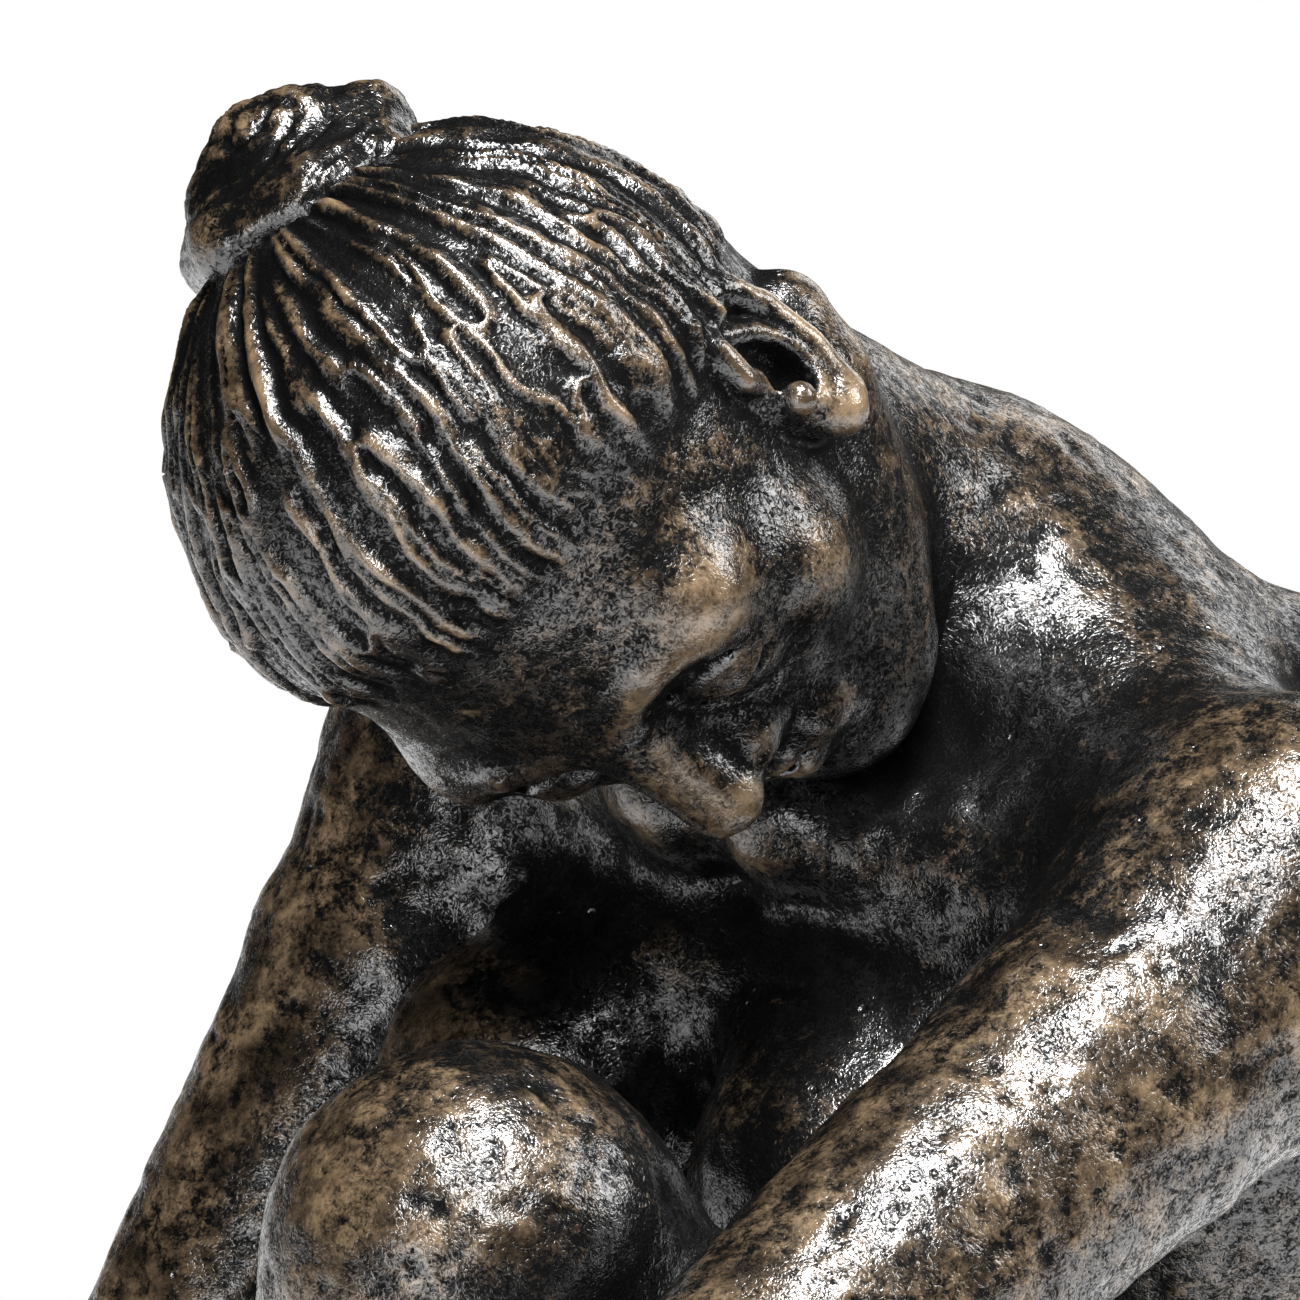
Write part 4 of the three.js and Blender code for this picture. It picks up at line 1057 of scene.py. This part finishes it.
@dataclass
class Leg(Casting):
    """Thigh, knee, calf and foot."""

    side: Side = Side.LEFT
    calf_out: Triple = (0, 0.93, -0.36)
    knee_out: Triple = (0, -0.9, 0.45)
    calf_swell: float = 2.6
    kneecap: float = 5.2

    def seam(self) -> Seam:
        """The hip's cut."""
        return HIP_SEAMS[self.side]

    def lower(self, clay: Clay) -> Clay:
        """Melts the knee, calf and foot on."""
        knee, ankle = POSE.knee[self.side], POSE.ankle[self.side]
        calf = between(knee, ankle, 0.3) + unit(self.calf_out) * self.calf_swell
        clay.press(Ball(knee, GIRTHS.knee), 5)
        clay.press(Limb(knee, ankle, GIRTHS.knee - 1.6, GIRTHS.ankle, swell=0.4), 5)
        clay.press(Limb(calf, between(calf, ankle, 0.45), GIRTHS.calf, GIRTHS.ankle + 1), 5)
        clay.press(Ball(vec(knee) + unit(self.knee_out) * self.kneecap, 5.0), 3)
        FEET[self.side].press_on(clay, ankle)
        return clay

    def own(self) -> Form:
        """The leg alone."""
        return self.lower(Clay().press(BODY.thigh(self.side), 1))

    def form(self) -> Form:
        """The leg with the hip's flesh, cut at its seam and faced flat below."""
        cut = self.parted()
        return lambda points: np.maximum(cut(points), FLOOR_OF_BODY - points[:, 2])


@dataclass
class Torso(Casting):
    """The trunk, less what the other castings take."""

    node: str = "torso"
    grain: float = 0.56
    limbs: tuple[Casting, ...] = ()

    def form(self) -> Form:
        """The trunk cut at every seam and faced flat below."""
        regions = [(limb, limb.region(), limb.seam()) for limb in self.limbs]

        def cut(points: Array) -> Array:
            """The torso's distance field."""
            depth = np.maximum(TRUNK(points), FLOOR_OF_BODY - points[:, 2])
            for limb, region, seam in regions:
                inside = -region(points)
                plug = limb.plug * (1 - seam.share(points))
                depth = np.maximum(depth + limb.taper * np.maximum(inside, 0), inside - plug)
            return depth

        return cut


Profile = tuple[tuple[float, float], ...]


def rod(radius: float, low: float, high: float, chamfer: float) -> Profile:
    """The profile of a rod with broken edges."""
    inner = radius - chamfer
    return (inner, low), (radius, low + chamfer), (radius, high - chamfer), (inner, high)


@dataclass(frozen=True)
class Turning:
    """A piece turned from a profile of radius and height, stretched along Y."""

    profile: Profile
    stretch: float = 1.0
    sides: int = 48
    ring: bool = False
    sharp_angle: float = 35.0

    def build(self, name: str, place: Triple = (0, 0, 0), way: Triple = (0, 0, 1)) -> Object:
        """The turned piece as a mesh object, its axis through place along way, in millimetres."""
        turns = [2 * math.pi * n / self.sides for n in range(self.sides)]
        points = [
            (radius * math.cos(turn), radius * math.sin(turn) * self.stretch, height)
            for radius, height in self.profile
            for turn in turns
        ]
        faces = []
        rows = len(self.profile)
        for row in range(rows if self.ring else rows - 1):
            low, high = row * self.sides, (row + 1) % rows * self.sides
            for n in range(self.sides):
                after = (n + 1) % self.sides
                faces.append((low + n, low + after, high + after, high + n))
        if not self.ring:
            last = (rows - 1) * self.sides
            faces.append(tuple(reversed(range(self.sides))))
            faces.append(tuple(range(last, last + self.sides)))
        mesh = bpy.data.meshes.new(name)
        mesh.from_pydata(points, [], faces)
        turn = Vector((0, 0, 1)).rotation_difference(Vector(way)).to_matrix().to_4x4()
        mesh.transform(Matrix.Scale(MM, 4) @ Matrix.Translation(Vector(place)) @ turn)
        mesh.update()
        mesh.shade_smooth()
        mesh.set_sharp_from_angle(angle=math.radians(self.sharp_angle))
        return linked(name, mesh)


@dataclass(frozen=True)
class Plinth:
    """Oval base with a cove, and the felt under it."""

    half_width: float = 60.0
    half_length: float = 80.0
    thickness: float = 13.0
    foot_height: float = 3.2
    cove_depth: float = 2.2
    top_round: float = 2.6
    edge_break: float = 0.8
    felt_thickness: float = 1.5
    felt_inset: float = 4.0
    felt_edge: float = 0.2
    glue_gap: float = 0.3
    hub: float = 0.5
    rim_wear: float = 0.14
    unshaded_reach_level: float = 0.85
    curve_steps: int = 10
    sides: int = 160

    @property
    def low(self) -> float:
        """Height of the plinth's underside."""
        return self.felt_thickness + self.glue_gap

    @property
    def top(self) -> float:
        """Height of the plinth's top."""
        return self.low + self.thickness

    def profile(self) -> Profile:
        """Foot, cove and rounded top edge."""
        edge, low = self.half_width, self.low
        points = [(self.hub, low), (edge - self.edge_break, low), (edge, low + self.edge_break)]
        points.append((edge, low + self.foot_height))
        cove_top = self.top - self.top_round
        turns = [step / self.curve_steps * math.pi / 2 for step in range(1, self.curve_steps + 1)]
        for turn in turns:
            rise = (cove_top - low - self.foot_height) * (1 - math.cos(turn))
            points.append((edge - self.cove_depth * math.sin(turn), low + self.foot_height + rise))
        for turn in turns:
            inward = self.cove_depth + self.top_round * (1 - math.cos(turn))
            points.append((edge - inward, cove_top + self.top_round * math.sin(turn)))
        points.append((self.hub, self.top))
        return tuple(points)

    def build(self) -> Object:
        """The oval plinth, with the masks that its paint needs."""
        profile = self.profile()
        obj = Turning(profile, self.half_length / self.half_width, self.sides).build("plinth")
        rows, foot_rows = np.arange(len(profile)), 4
        foot = (rows > 0) & (rows < foot_rows)
        top_edge = (rows > foot_rows + self.curve_steps) & (rows < len(profile) - 1)
        raised = np.repeat(np.where(foot | top_edge, self.rim_wear, 0.0), self.sides)
        # The plinth gets one even level of the painted-shade mask, so no shade is painted on it.
        write_masks(obj.data, {"fine": raised, "open": np.full(len(raised), self.unshaded_reach_level)})
        return obj

    def build_felt(self) -> Object:
        """The felt, with a soft cut edge."""
        edge, thick = self.half_width - self.felt_inset, self.felt_thickness
        profile = ((self.hub, 0), *rod(edge, 0, thick, self.felt_edge), (self.hub, thick))
        stretch = (self.half_length - self.felt_inset) / edge
        return Turning(profile, stretch, self.sides).build("base_felt")


@dataclass(frozen=True)
class Dowel:
    """A chamfered steel pin across a seam."""

    node: str
    seam: Seam
    diameter: float
    length: float
    chamfer: float = 0.3

    def build(self) -> Object:
        """The pin, centred on its seam."""
        half = self.length / 2
        profile = rod(self.diameter / 2, -half, half, self.chamfer)
        return Turning(profile, sides=32).build(self.node, tuple(self.seam.place), tuple(self.seam.way))


@dataclass(frozen=True)
class SeatFixing:
    """A screw and washer in a pocket under the plinth."""

    x: float
    y: float = 48.0
    shank: float = 3.5
    reach: float = 11.0
    head: float = 6.4
    head_height: float = 2.4
    washer: float = 9.0
    washer_thickness: float = 1.0
    pocket_depth: float = 6.0
    thread_pitch: float = 1.2
    thread_depth: float = 0.3
    plain_shank: float = 1.0
    thread_root: float = 0.25
    thread_crest: float = 0.6
    point: float = 2.0
    hub: float = 0.2
    tip: float = 0.1
    head_break: float = 0.6
    washer_break: float = 0.15
    gap: float = 0.3

    def build_screw(self, node: str, plinth: Plinth) -> Object:
        """A screw with a broken head edge, thread ridges and a point."""
        r, wide, high = self.shank / 2, self.head / 2, plinth.top + self.reach
        low = plinth.low + self.pocket_depth - self.washer_thickness - 2 * self.gap - self.head_height
        neck = low + self.head_height
        c = self.head_break
        profile = [(self.hub, low), (wide - c, low), (wide, low + c), (wide, neck), (r, neck)]
        count = int((high - self.point - neck - self.plain_shank) / self.thread_pitch)
        for ridge in range(count):
            start = neck + self.plain_shank + ridge * self.thread_pitch
            profile.append((r - self.thread_depth, start + self.thread_root * self.thread_pitch))
            profile.append((r, start + self.thread_crest * self.thread_pitch))
        profile.extend([(r - self.thread_depth, high - self.point), (self.tip, high)])
        return Turning(tuple(profile), sides=32).build(node, (self.x, self.y, 0))

    def build_washer(self, node: str, plinth: Plinth) -> Object:
        """A flat washer under the screw's head."""
        high = plinth.low + self.pocket_depth - self.gap
        low, inner, outer = high - self.washer_thickness, self.shank / 2 + self.gap, self.washer / 2
        profile = ((inner, low), *rod(outer, low, high, self.washer_break), (inner, high))
        return Turning(profile, sides=40, ring=True).build(node, (self.x, self.y, 0))


@dataclass(frozen=True)
class Ballast:
    """An iron slug in the seat and the resin plug under it."""

    x: float = 6.0
    y: float = 48.0
    diameter: float = 15.0
    length: float = 32.0
    plug_thickness: float = 3.0
    chamfer: float = 0.4
    gap: float = 0.3

    def _rod(self, node: str, low: float, high: float) -> Object:
        """An upright rod with broken edges."""
        profile = rod(self.diameter / 2, low, high, self.chamfer)
        return Turning(profile).build(node, (self.x, self.y, 0))

    def build_plug(self) -> Object:
        """The resin plug."""
        low = FLOOR_OF_BODY + self.gap
        return self._rod("ballast_plug", low, low + self.plug_thickness)

    def build_slug(self) -> Object:
        """The iron slug."""
        low = FLOOR_OF_BODY + 2 * self.gap + self.plug_thickness
        return self._rod("ballast", low, low + self.length)


class Sketch:
    """Adds shader nodes to one tree and links them."""

    def __init__(self, tree: Tree) -> None:
        """Works on a given tree."""
        self.tree = tree

    def add(self, kind: str, inputs: dict | None = None, **settings: object) -> bpy.types.Node:
        """A node with its settings, and its inputs linked or set."""
        node = self.tree.nodes.new(kind)
        for name, value in settings.items():
            setattr(node, name, value)
        for name, value in (inputs or {}).items():
            self.feed(node.inputs[name], value)
        return node

    def feed(self, socket: Socket, value: object) -> None:
        """Links a socket to another, or sets its value."""
        if isinstance(value, Socket):
            self.tree.links.new(value, socket)
        else:
            socket.default_value = value

    def math(self, operation: str, a: object, b: object = 0.0, c: object = 0.0) -> Socket:
        """The result of a math node."""
        node = self.add("ShaderNodeMath", operation=operation)
        for n, value in enumerate((a, b, c)):
            self.feed(node.inputs[n], value)
        return node.outputs[0]

    def add_up(self, *terms: tuple[object, float]) -> Socket:
        """A weighted sum of values."""
        total: object = 0.0
        for value, weight in terms:
            total = self.math("MULTIPLY_ADD", value, weight, total)
        return total

    def ease(self, value: object, low: float, high: float) -> Socket:
        """A smooth step from 0 at low to 1 at high."""
        limits = {"Value": value, "From Min": low, "From Max": high}
        return self.add("ShaderNodeMapRange", limits, interpolation_type="SMOOTHSTEP").outputs[0]

    def remap(self, value: object, low: float, high: float) -> Socket:
        """A value from 0 to 1 spread between two levels."""
        return self.add("ShaderNodeMapRange", {"Value": value, "To Min": low, "To Max": high}).outputs[0]

    def blend(self, share: object, a: object, b: object) -> Socket:
        """A colour between two colours."""
        node = self.add("ShaderNodeMix", data_type="RGBA")
        self.feed(node.inputs["Factor"], share)
        for name, value in (("A", a), ("B", b)):
            socket = next(s for s in node.inputs if s.name == name and s.type == "RGBA")
            self.feed(socket, value)
        return next(s for s in node.outputs if s.type == "RGBA")

    def noise(self, place: object, scale: float, detail: float = 2.0, roughness: float = 0.55,
              distortion: float = 0.0) -> Socket:
        """Noise from 0 to 1 around 0.5."""
        settings = {"Scale": scale, "Detail": detail, "Roughness": roughness, "Distortion": distortion}
        node = self.add("ShaderNodeTexNoise", {"Vector": place, **settings})
        return node.outputs[0]

    def attribute(self, name: str) -> Socket:
        """A point mask of the mesh."""
        return self.add("ShaderNodeAttribute", attribute_name=name).outputs["Fac"]

    def place(self) -> Socket:
        """The object's own coordinates."""
        return self.add("ShaderNodeTexCoord").outputs["Object"]


def blank(owner: Material | bpy.types.World) -> Sketch:
    """Empties the node tree of a material or world, to be drawn anew."""
    owner.use_nodes = True
    owner.node_tree.nodes.clear()
    return Sketch(owner.node_tree)


def dry_brush_group() -> Tree:
    """Ochre paint on raised places, thinned in hollows and between parts as painted shade and as dry-brush
    wear, a varnish worn in spots, and casting pits.
    """
    inputs = {"Fine": 0.0, "Broad": 0.0, "Open": 1.0, "Hair": 0.0, "Coverage": 0.5, "Varnish": 0.5}
    tree = bpy.data.node_groups.new("dry_brush", "ShaderNodeTree")
    for title, value in inputs.items():
        socket = tree.interface.new_socket(title, in_out="INPUT", socket_type="NodeSocketFloat")
        socket.default_value = value
    for title in ("Paint", "Gloss", "Tone", "Grain", "Height", "Pit"):
        tree.interface.new_socket(title, in_out="OUTPUT", socket_type="NodeSocketFloat")
    s = Sketch(tree)
    given = s.add("NodeGroupInput").outputs
    paint_level, gloss_level = 3.75, 2.1
    place = s.place()
    aside = s.add("ShaderNodeVectorMath", {0: place, 1: (0.37, 0.11, 0.73)}, operation="ADD").outputs[0]
    drift = s.noise(place, 90, 2)
    blotch = s.noise(place, 520, 4, 0.65, 0.7)
    worn = s.noise(aside, 480, 3, 0.6, 0.9)
    fleck = s.noise(aside, 1500, 2, 0.6, 0.8)
    grain = s.noise(place, 3100, 1, 0.5, 1.6)
    skin = s.math("SUBTRACT", 1.0, given["Hair"])
    brushed = s.add_up((blotch, 1.3), (drift, 0.9), (fleck, 1.1), (grain, 0.9))
    raised = s.add_up((given["Fine"], 2.4), (given["Hair"], -0.3), (given["Broad"], 0.5))
    # Painted shade as well as dry-brush wear: paint grows where no other flesh closes over the skin, so
    # hollows and places between parts stay dark.
    caught_and_unshaded = s.add_up((raised, 1.0), (brushed, 1.0), (given["Open"], 1.2))
    # This mask is real ochre paint together with painted shade in the hollows.
    paint = s.ease(s.math("ADD", s.math("SUBTRACT", caught_and_unshaded, paint_level), given["Coverage"]), -0.1, 0.9)
    spots = s.add_up((worn, 0.7), (fleck, 0.8), (grain, 1.7), (given["Fine"], 2.6))
    gloss = s.ease(s.math("ADD", s.math("SUBTRACT", spots, gloss_level), given["Varnish"]), -0.1, 0.6)
    cells = s.add("ShaderNodeTexVoronoi", {"Vector": place, "Scale": 560.0, "Randomness": 1.0})
    chosen = s.math("GREATER_THAN", s.noise(place, 330, 1), 0.62)
    pit = s.math("MULTIPLY", s.ease(cells.outputs["Distance"], 0.2, 0.08), chosen)
    pit = s.math("MULTIPLY", pit, s.remap(skin, 0.3, 1.0))
    height = s.add_up((grain, 0.6), (fleck, 0.5), (worn, 0.3), (pit, -2.0), (paint, 0.15))
    tone = s.noise(aside, 260, 4, 0.65)
    results = {"Paint": paint, "Gloss": gloss, "Tone": tone, "Grain": grain, "Height": height, "Pit": pit}
    s.add("NodeGroupOutput", results)
    return tree


@dataclass(frozen=True)
class BronzedResin:
    """Near-black resin, dry-brushed with ochre bronze that thins in hollows and between parts as painted
    shade, under a worn gloss varnish.
    """

    name: str = "bronzed_resin"
    dark: Triple = (0.0016, 0.0016, 0.0017)
    brown: Triple = (0.036, 0.023, 0.0125)
    tan: Triple = (0.2, 0.137, 0.08)
    pit: Triple = (0.003, 0.003, 0.003)
    tone_range: tuple[float, float] = (0.36, 0.66)
    roughness: float = 0.5
    sheen: float = 0.06
    coverage: float = 0.62
    varnish: float = 0.75
    varnish_index: float = 1.8
    varnish_roughness: tuple[float, float] = (0.1, 0.26)
    bump_depth: float = 0.000055

    def material(self, group: Tree) -> Material:
        """The painted and varnished finish."""
        material = bpy.data.materials.new(self.name)
        s = blank(material)
        levels = {"Coverage": self.coverage, "Varnish": self.varnish}
        masks = {title: s.attribute(title.lower()) for title in ("Fine", "Broad", "Open", "Hair")}
        out = s.add("ShaderNodeGroup", {**levels, **masks}, node_tree=group).outputs
        bronze = s.blend(s.ease(out["Tone"], *self.tone_range), (*self.brown, 1), (*self.tan, 1))
        # Paint and painted shade: bronze where the mask is high, dark resin in hollows and between parts.
        colour = s.blend(out["Paint"], (*self.dark, 1), bronze)
        colour = s.blend(out["Pit"], colour, (*self.pit, 1))
        relief = {"Height": out["Height"], "Distance": self.bump_depth, "Strength": 1.0}
        bump = s.add("ShaderNodeBump", relief)
        shader = s.add("ShaderNodeBsdfPrincipled", {
            "Base Color": colour, "Roughness": self.roughness, "Specular IOR Level": self.sheen,
            "Normal": bump.outputs[0], "Coat Weight": out["Gloss"], "Coat IOR": self.varnish_index,
            "Coat Normal": bump.outputs[0], "Coat Roughness": s.remap(out["Grain"], *self.varnish_roughness),
        })
        s.add("ShaderNodeOutputMaterial", {"Surface": shader.outputs[0]})
        return material


@dataclass(frozen=True)
class PlainFinish:
    """A plain finish with a worn, grained surface."""

    name: str
    colour: Triple
    worn: Triple
    roughness: float
    metallic: float
    scale: float = 900.0
    bump_depth: float = 0.00005
    bump_strength: float = 0.8
    roughness_spread: float = 0.08
    wear_range: tuple[float, float] = (0.4, 0.65)

    def material(self) -> Material:
        """The finish as a material."""
        material = bpy.data.materials.new(self.name)
        s = blank(material)
        place = s.place()
        wear = s.noise(place, self.scale, 5, 0.65)
        fine = s.noise(place, self.scale * 4, 2)
        colour = s.blend(s.ease(wear, *self.wear_range), (*self.colour, 1), (*self.worn, 1))
        height = s.add_up((wear, 0.5), (fine, 0.5))
        relief = {"Height": height, "Distance": self.bump_depth, "Strength": self.bump_strength}
        bump = s.add("ShaderNodeBump", relief)
        spread = self.roughness_spread
        shader = s.add("ShaderNodeBsdfPrincipled", {
            "Base Color": colour, "Metallic": self.metallic, "Normal": bump.outputs[0],
            "Roughness": s.remap(fine, self.roughness - spread, self.roughness + spread),
        })
        s.add("ShaderNodeOutputMaterial", {"Surface": shader.outputs[0]})
        return material


STEEL = PlainFinish("drawn_steel", (0.5, 0.51, 0.52), (0.62, 0.63, 0.64), roughness=0.3, metallic=1.0)
IRON = PlainFinish("grey_iron", (0.07, 0.07, 0.075), (0.11, 0.1, 0.1), roughness=0.6, metallic=0.9)
RESIN = PlainFinish("poured_resin", (0.1, 0.085, 0.07), (0.14, 0.12, 0.1), roughness=0.6, metallic=0.0)
FELT = PlainFinish(
    "felt", (0.012, 0.018, 0.012), (0.022, 0.03, 0.02), roughness=0.92, metallic=0.0, bump_depth=0.0003,
)


@dataclass(frozen=True)
class Studio:
    """White surroundings, soft lights and the camera of the close-up."""

    azimuth: float = 43.0
    elevation: float = 15.0
    pixels_per_mm: float = 19.4
    picture: float = 1300.0
    head_pixel: tuple[float, float] = (560.0, 480.0)
    distance: float = 600.0
    sensor: float = 36.0
    ambient: float = 0.014
    light_distance: float = 0.6
    lights: tuple[tuple[str, Triple, float, float], ...] = (
        ("main", (0.12, 0.91, 0.38), 0.24, 8.0),
        ("fill", (-0.4, -0.15, 0.9), 0.3, 1.1),
        ("front", (0.05, 0.55, 0.83), 0.26, 3.2),
        ("right", (0.9, 0.55, 0.1), 0.3, 2.0),
        ("rear", (0.4, 0.5, -0.8), 0.3, 0.5),
    )
    floor_half: float = 3.0
    floor_fade: tuple[float, float] = (0.1, 0.26)

    def axes(self) -> tuple[Vector, Vector, Vector]:
        """Right, up and back of the camera."""
        az, el = math.radians(self.azimuth), math.radians(self.elevation)
        right = Vector((math.cos(az), math.sin(az), 0))
        back = Vector((math.sin(az) * math.cos(el), -math.cos(az) * math.cos(el), math.sin(el)))
        return right, back.cross(right), back

    def target(self) -> Vector:
        """The point at the middle of the picture, in metres."""
        right, up, _ = self.axes()
        across = (self.head_pixel[0] - self.picture / 2) / self.pixels_per_mm
        down = (self.head_pixel[1] - self.picture / 2) / self.pixels_per_mm
        return (Vector(POSE.head) - right * across + up * down) * MM

    def build_camera(self) -> None:
        """A long lens close to the head."""
        camera = bpy.data.cameras.new("camera")
        camera.sensor_width = self.sensor
        camera.lens = self.sensor * self.pixels_per_mm * self.distance / self.picture
        camera.clip_start = 0.01
        obj = linked("camera", camera)
        right, up, back = self.axes()
        turn = Matrix((right, up, back)).transposed().to_4x4()
        obj.matrix_world = Matrix.Translation(self.target() + back * self.distance * MM) @ turn
        bpy.context.scene.camera = obj

    def build_light(self, name: str, way: Triple, size: float, power: float) -> None:
        """A soft box: way is given along right, up and back."""
        light = bpy.data.lights.new(name, "AREA")
        light.shape = "DISK"
        light.size = size
        light.energy = power
        obj = linked(name, light)
        right, up, back = self.axes()
        towards = (right * way[0] + up * way[1] + back * way[2]).normalized()
        obj.location = self.target() + towards * self.light_distance
        obj.rotation_euler = towards.to_track_quat("Z", "Y").to_euler()

    def build_world(self) -> None:
        """White to the camera, softer as a light."""
        world = bpy.data.worlds.new("surroundings")
        s = blank(world)
        seen = s.add("ShaderNodeLightPath").outputs["Is Camera Ray"]
        level = s.remap(seen, self.ambient, 1.0)
        sky = s.add("ShaderNodeBackground", {"Color": (1, 1, 1, 1), "Strength": level})
        s.add("ShaderNodeOutputWorld", {"Surface": sky.outputs[0]})
        bpy.context.scene.world = world

    def build_floor(self) -> None:
        """A white floor that keeps the shadow near the plinth and fades to white."""
        mesh = bpy.data.meshes.new("floor")
        half = self.floor_half
        corners = [(-half, -half, 0), (half, -half, 0), (half, half, 0), (-half, half, 0)]
        mesh.from_pydata(corners, [], [(0, 1, 2, 3)])
        obj = linked("floor", mesh)
        material = bpy.data.materials.new("floor")
        s = blank(material)
        reach = s.add("ShaderNodeVectorMath", {0: s.place()}, operation="LENGTH").outputs["Value"]
        seen = s.add("ShaderNodeLightPath").outputs["Is Camera Ray"]
        far = s.math("MULTIPLY", s.ease(reach, *self.floor_fade), seen)
        paper = s.add("ShaderNodeBsdfDiffuse", {"Color": (0.9, 0.9, 0.9, 1)})
        glow = s.add("ShaderNodeEmission", {"Color": (1, 1, 1, 1), "Strength": 1.0})
        mixed = s.add("ShaderNodeMixShader", {0: far, 1: paper.outputs[0], 2: glow.outputs[0]})
        s.add("ShaderNodeOutputMaterial", {"Surface": mixed.outputs[0]})
        mesh.materials.append(material)

    def build(self) -> None:
        """The whole set."""
        bpy.context.scene.view_settings.view_transform = "Standard"
        self.build_camera()
        self.build_world()
        self.build_floor()
        for light in self.lights:
            self.build_light(*light)


def build_hardware(plinth: Plinth, castings: dict[str, Casting]) -> None:
    """Pins, screws, washers and ballast, hidden inside."""
    steel, iron, resin = STEEL.material(), IRON.material(), RESIN.material()

    def standing(place: Triple) -> Seam:
        """An upright pin's seam on the plinth."""
        return Seam(vec((place[0], place[1], plinth.top)), vec((0, 0, 1)))

    dowels = (
        Dowel("neck_pin", castings["head"].seam(), diameter=4, length=16),
        Dowel("bun_pin", castings["hair_bun"].seam(), diameter=2.5, length=9),
        Dowel("left_shoulder_pin", castings["left_arm"].seam(), diameter=4, length=17),
        Dowel("right_shoulder_pin", castings["right_arm"].seam(), diameter=4, length=17),
        Dowel("left_hip_pin", castings["left_leg"].seam(), diameter=5, length=20),
        Dowel("right_hip_pin", castings["right_leg"].seam(), diameter=5, length=20),
        Dowel("left_foot_pin", standing(FEET[Side.LEFT].heel), diameter=2.5, length=11),
        Dowel("right_knee_pin", standing(POSE.knee[Side.RIGHT]), diameter=2.5, length=11),
    )
    for dowel in dowels:
        settle_piece(dowel.build(), dowel.node, steel)
    for side in Side:
        fixing = SeatFixing(BODY.spine_x + SEAT_SPREAD * side.value)
        screw, washer = f"seat_screw_{side.word}", f"seat_washer_{side.word}"
        settle_piece(fixing.build_screw(screw, plinth), screw, steel)
        settle_piece(fixing.build_washer(washer, plinth), washer, steel)
    ballast = Ballast()
    settle_piece(ballast.build_slug(), "ballast", iron)
    settle_piece(ballast.build_plug(), "ballast_plug", resin)


def main() -> None:
    """Builds the figurine, its plinth and its studio."""
    logging.basicConfig(level=logging.INFO, format="%(message)s")
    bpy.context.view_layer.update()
    limbs = (
        Head(),
        Arm("left_arm", grain=0.36, side=Side.LEFT),
        Arm("right_arm", grain=0.36, side=Side.RIGHT),
        Leg("left_leg", grain=0.42, side=Side.LEFT),
        Leg("right_leg", grain=0.4, side=Side.RIGHT, calf_out=(0.1, 0.95, 0.1), knee_out=(-0.9, -0.35, 0.2)),
    )
    castings = {piece.node: piece for piece in (*limbs, Torso(limbs=limbs), Bun())}
    flesh = [limb.own() for limb in limbs]

    def nearest(points: Array) -> Array:
        """The distance from the whole figure."""
        return np.minimum.reduce([TRUNK(points), *[own(points) for own in flesh]])

    figure = Room(nearest, FIGURE_LOW, FIGURE_HIGH, OPEN_STEP)
    group = dry_brush_group()
    bronze = BronzedResin().material(group)
    for casting in castings.values():
        casting.dress(casting.build(figure), bronze)
    plinth = Plinth()
    base = BronzedResin("plinth_resin").material(group)
    felt = FELT.material()
    settle_piece(plinth.build(), "plinth", base)
    settle_piece(plinth.build_felt(), "base_felt", felt)
    build_hardware(plinth, castings)
    Studio().build()


if __name__ == "__main__":
    main()
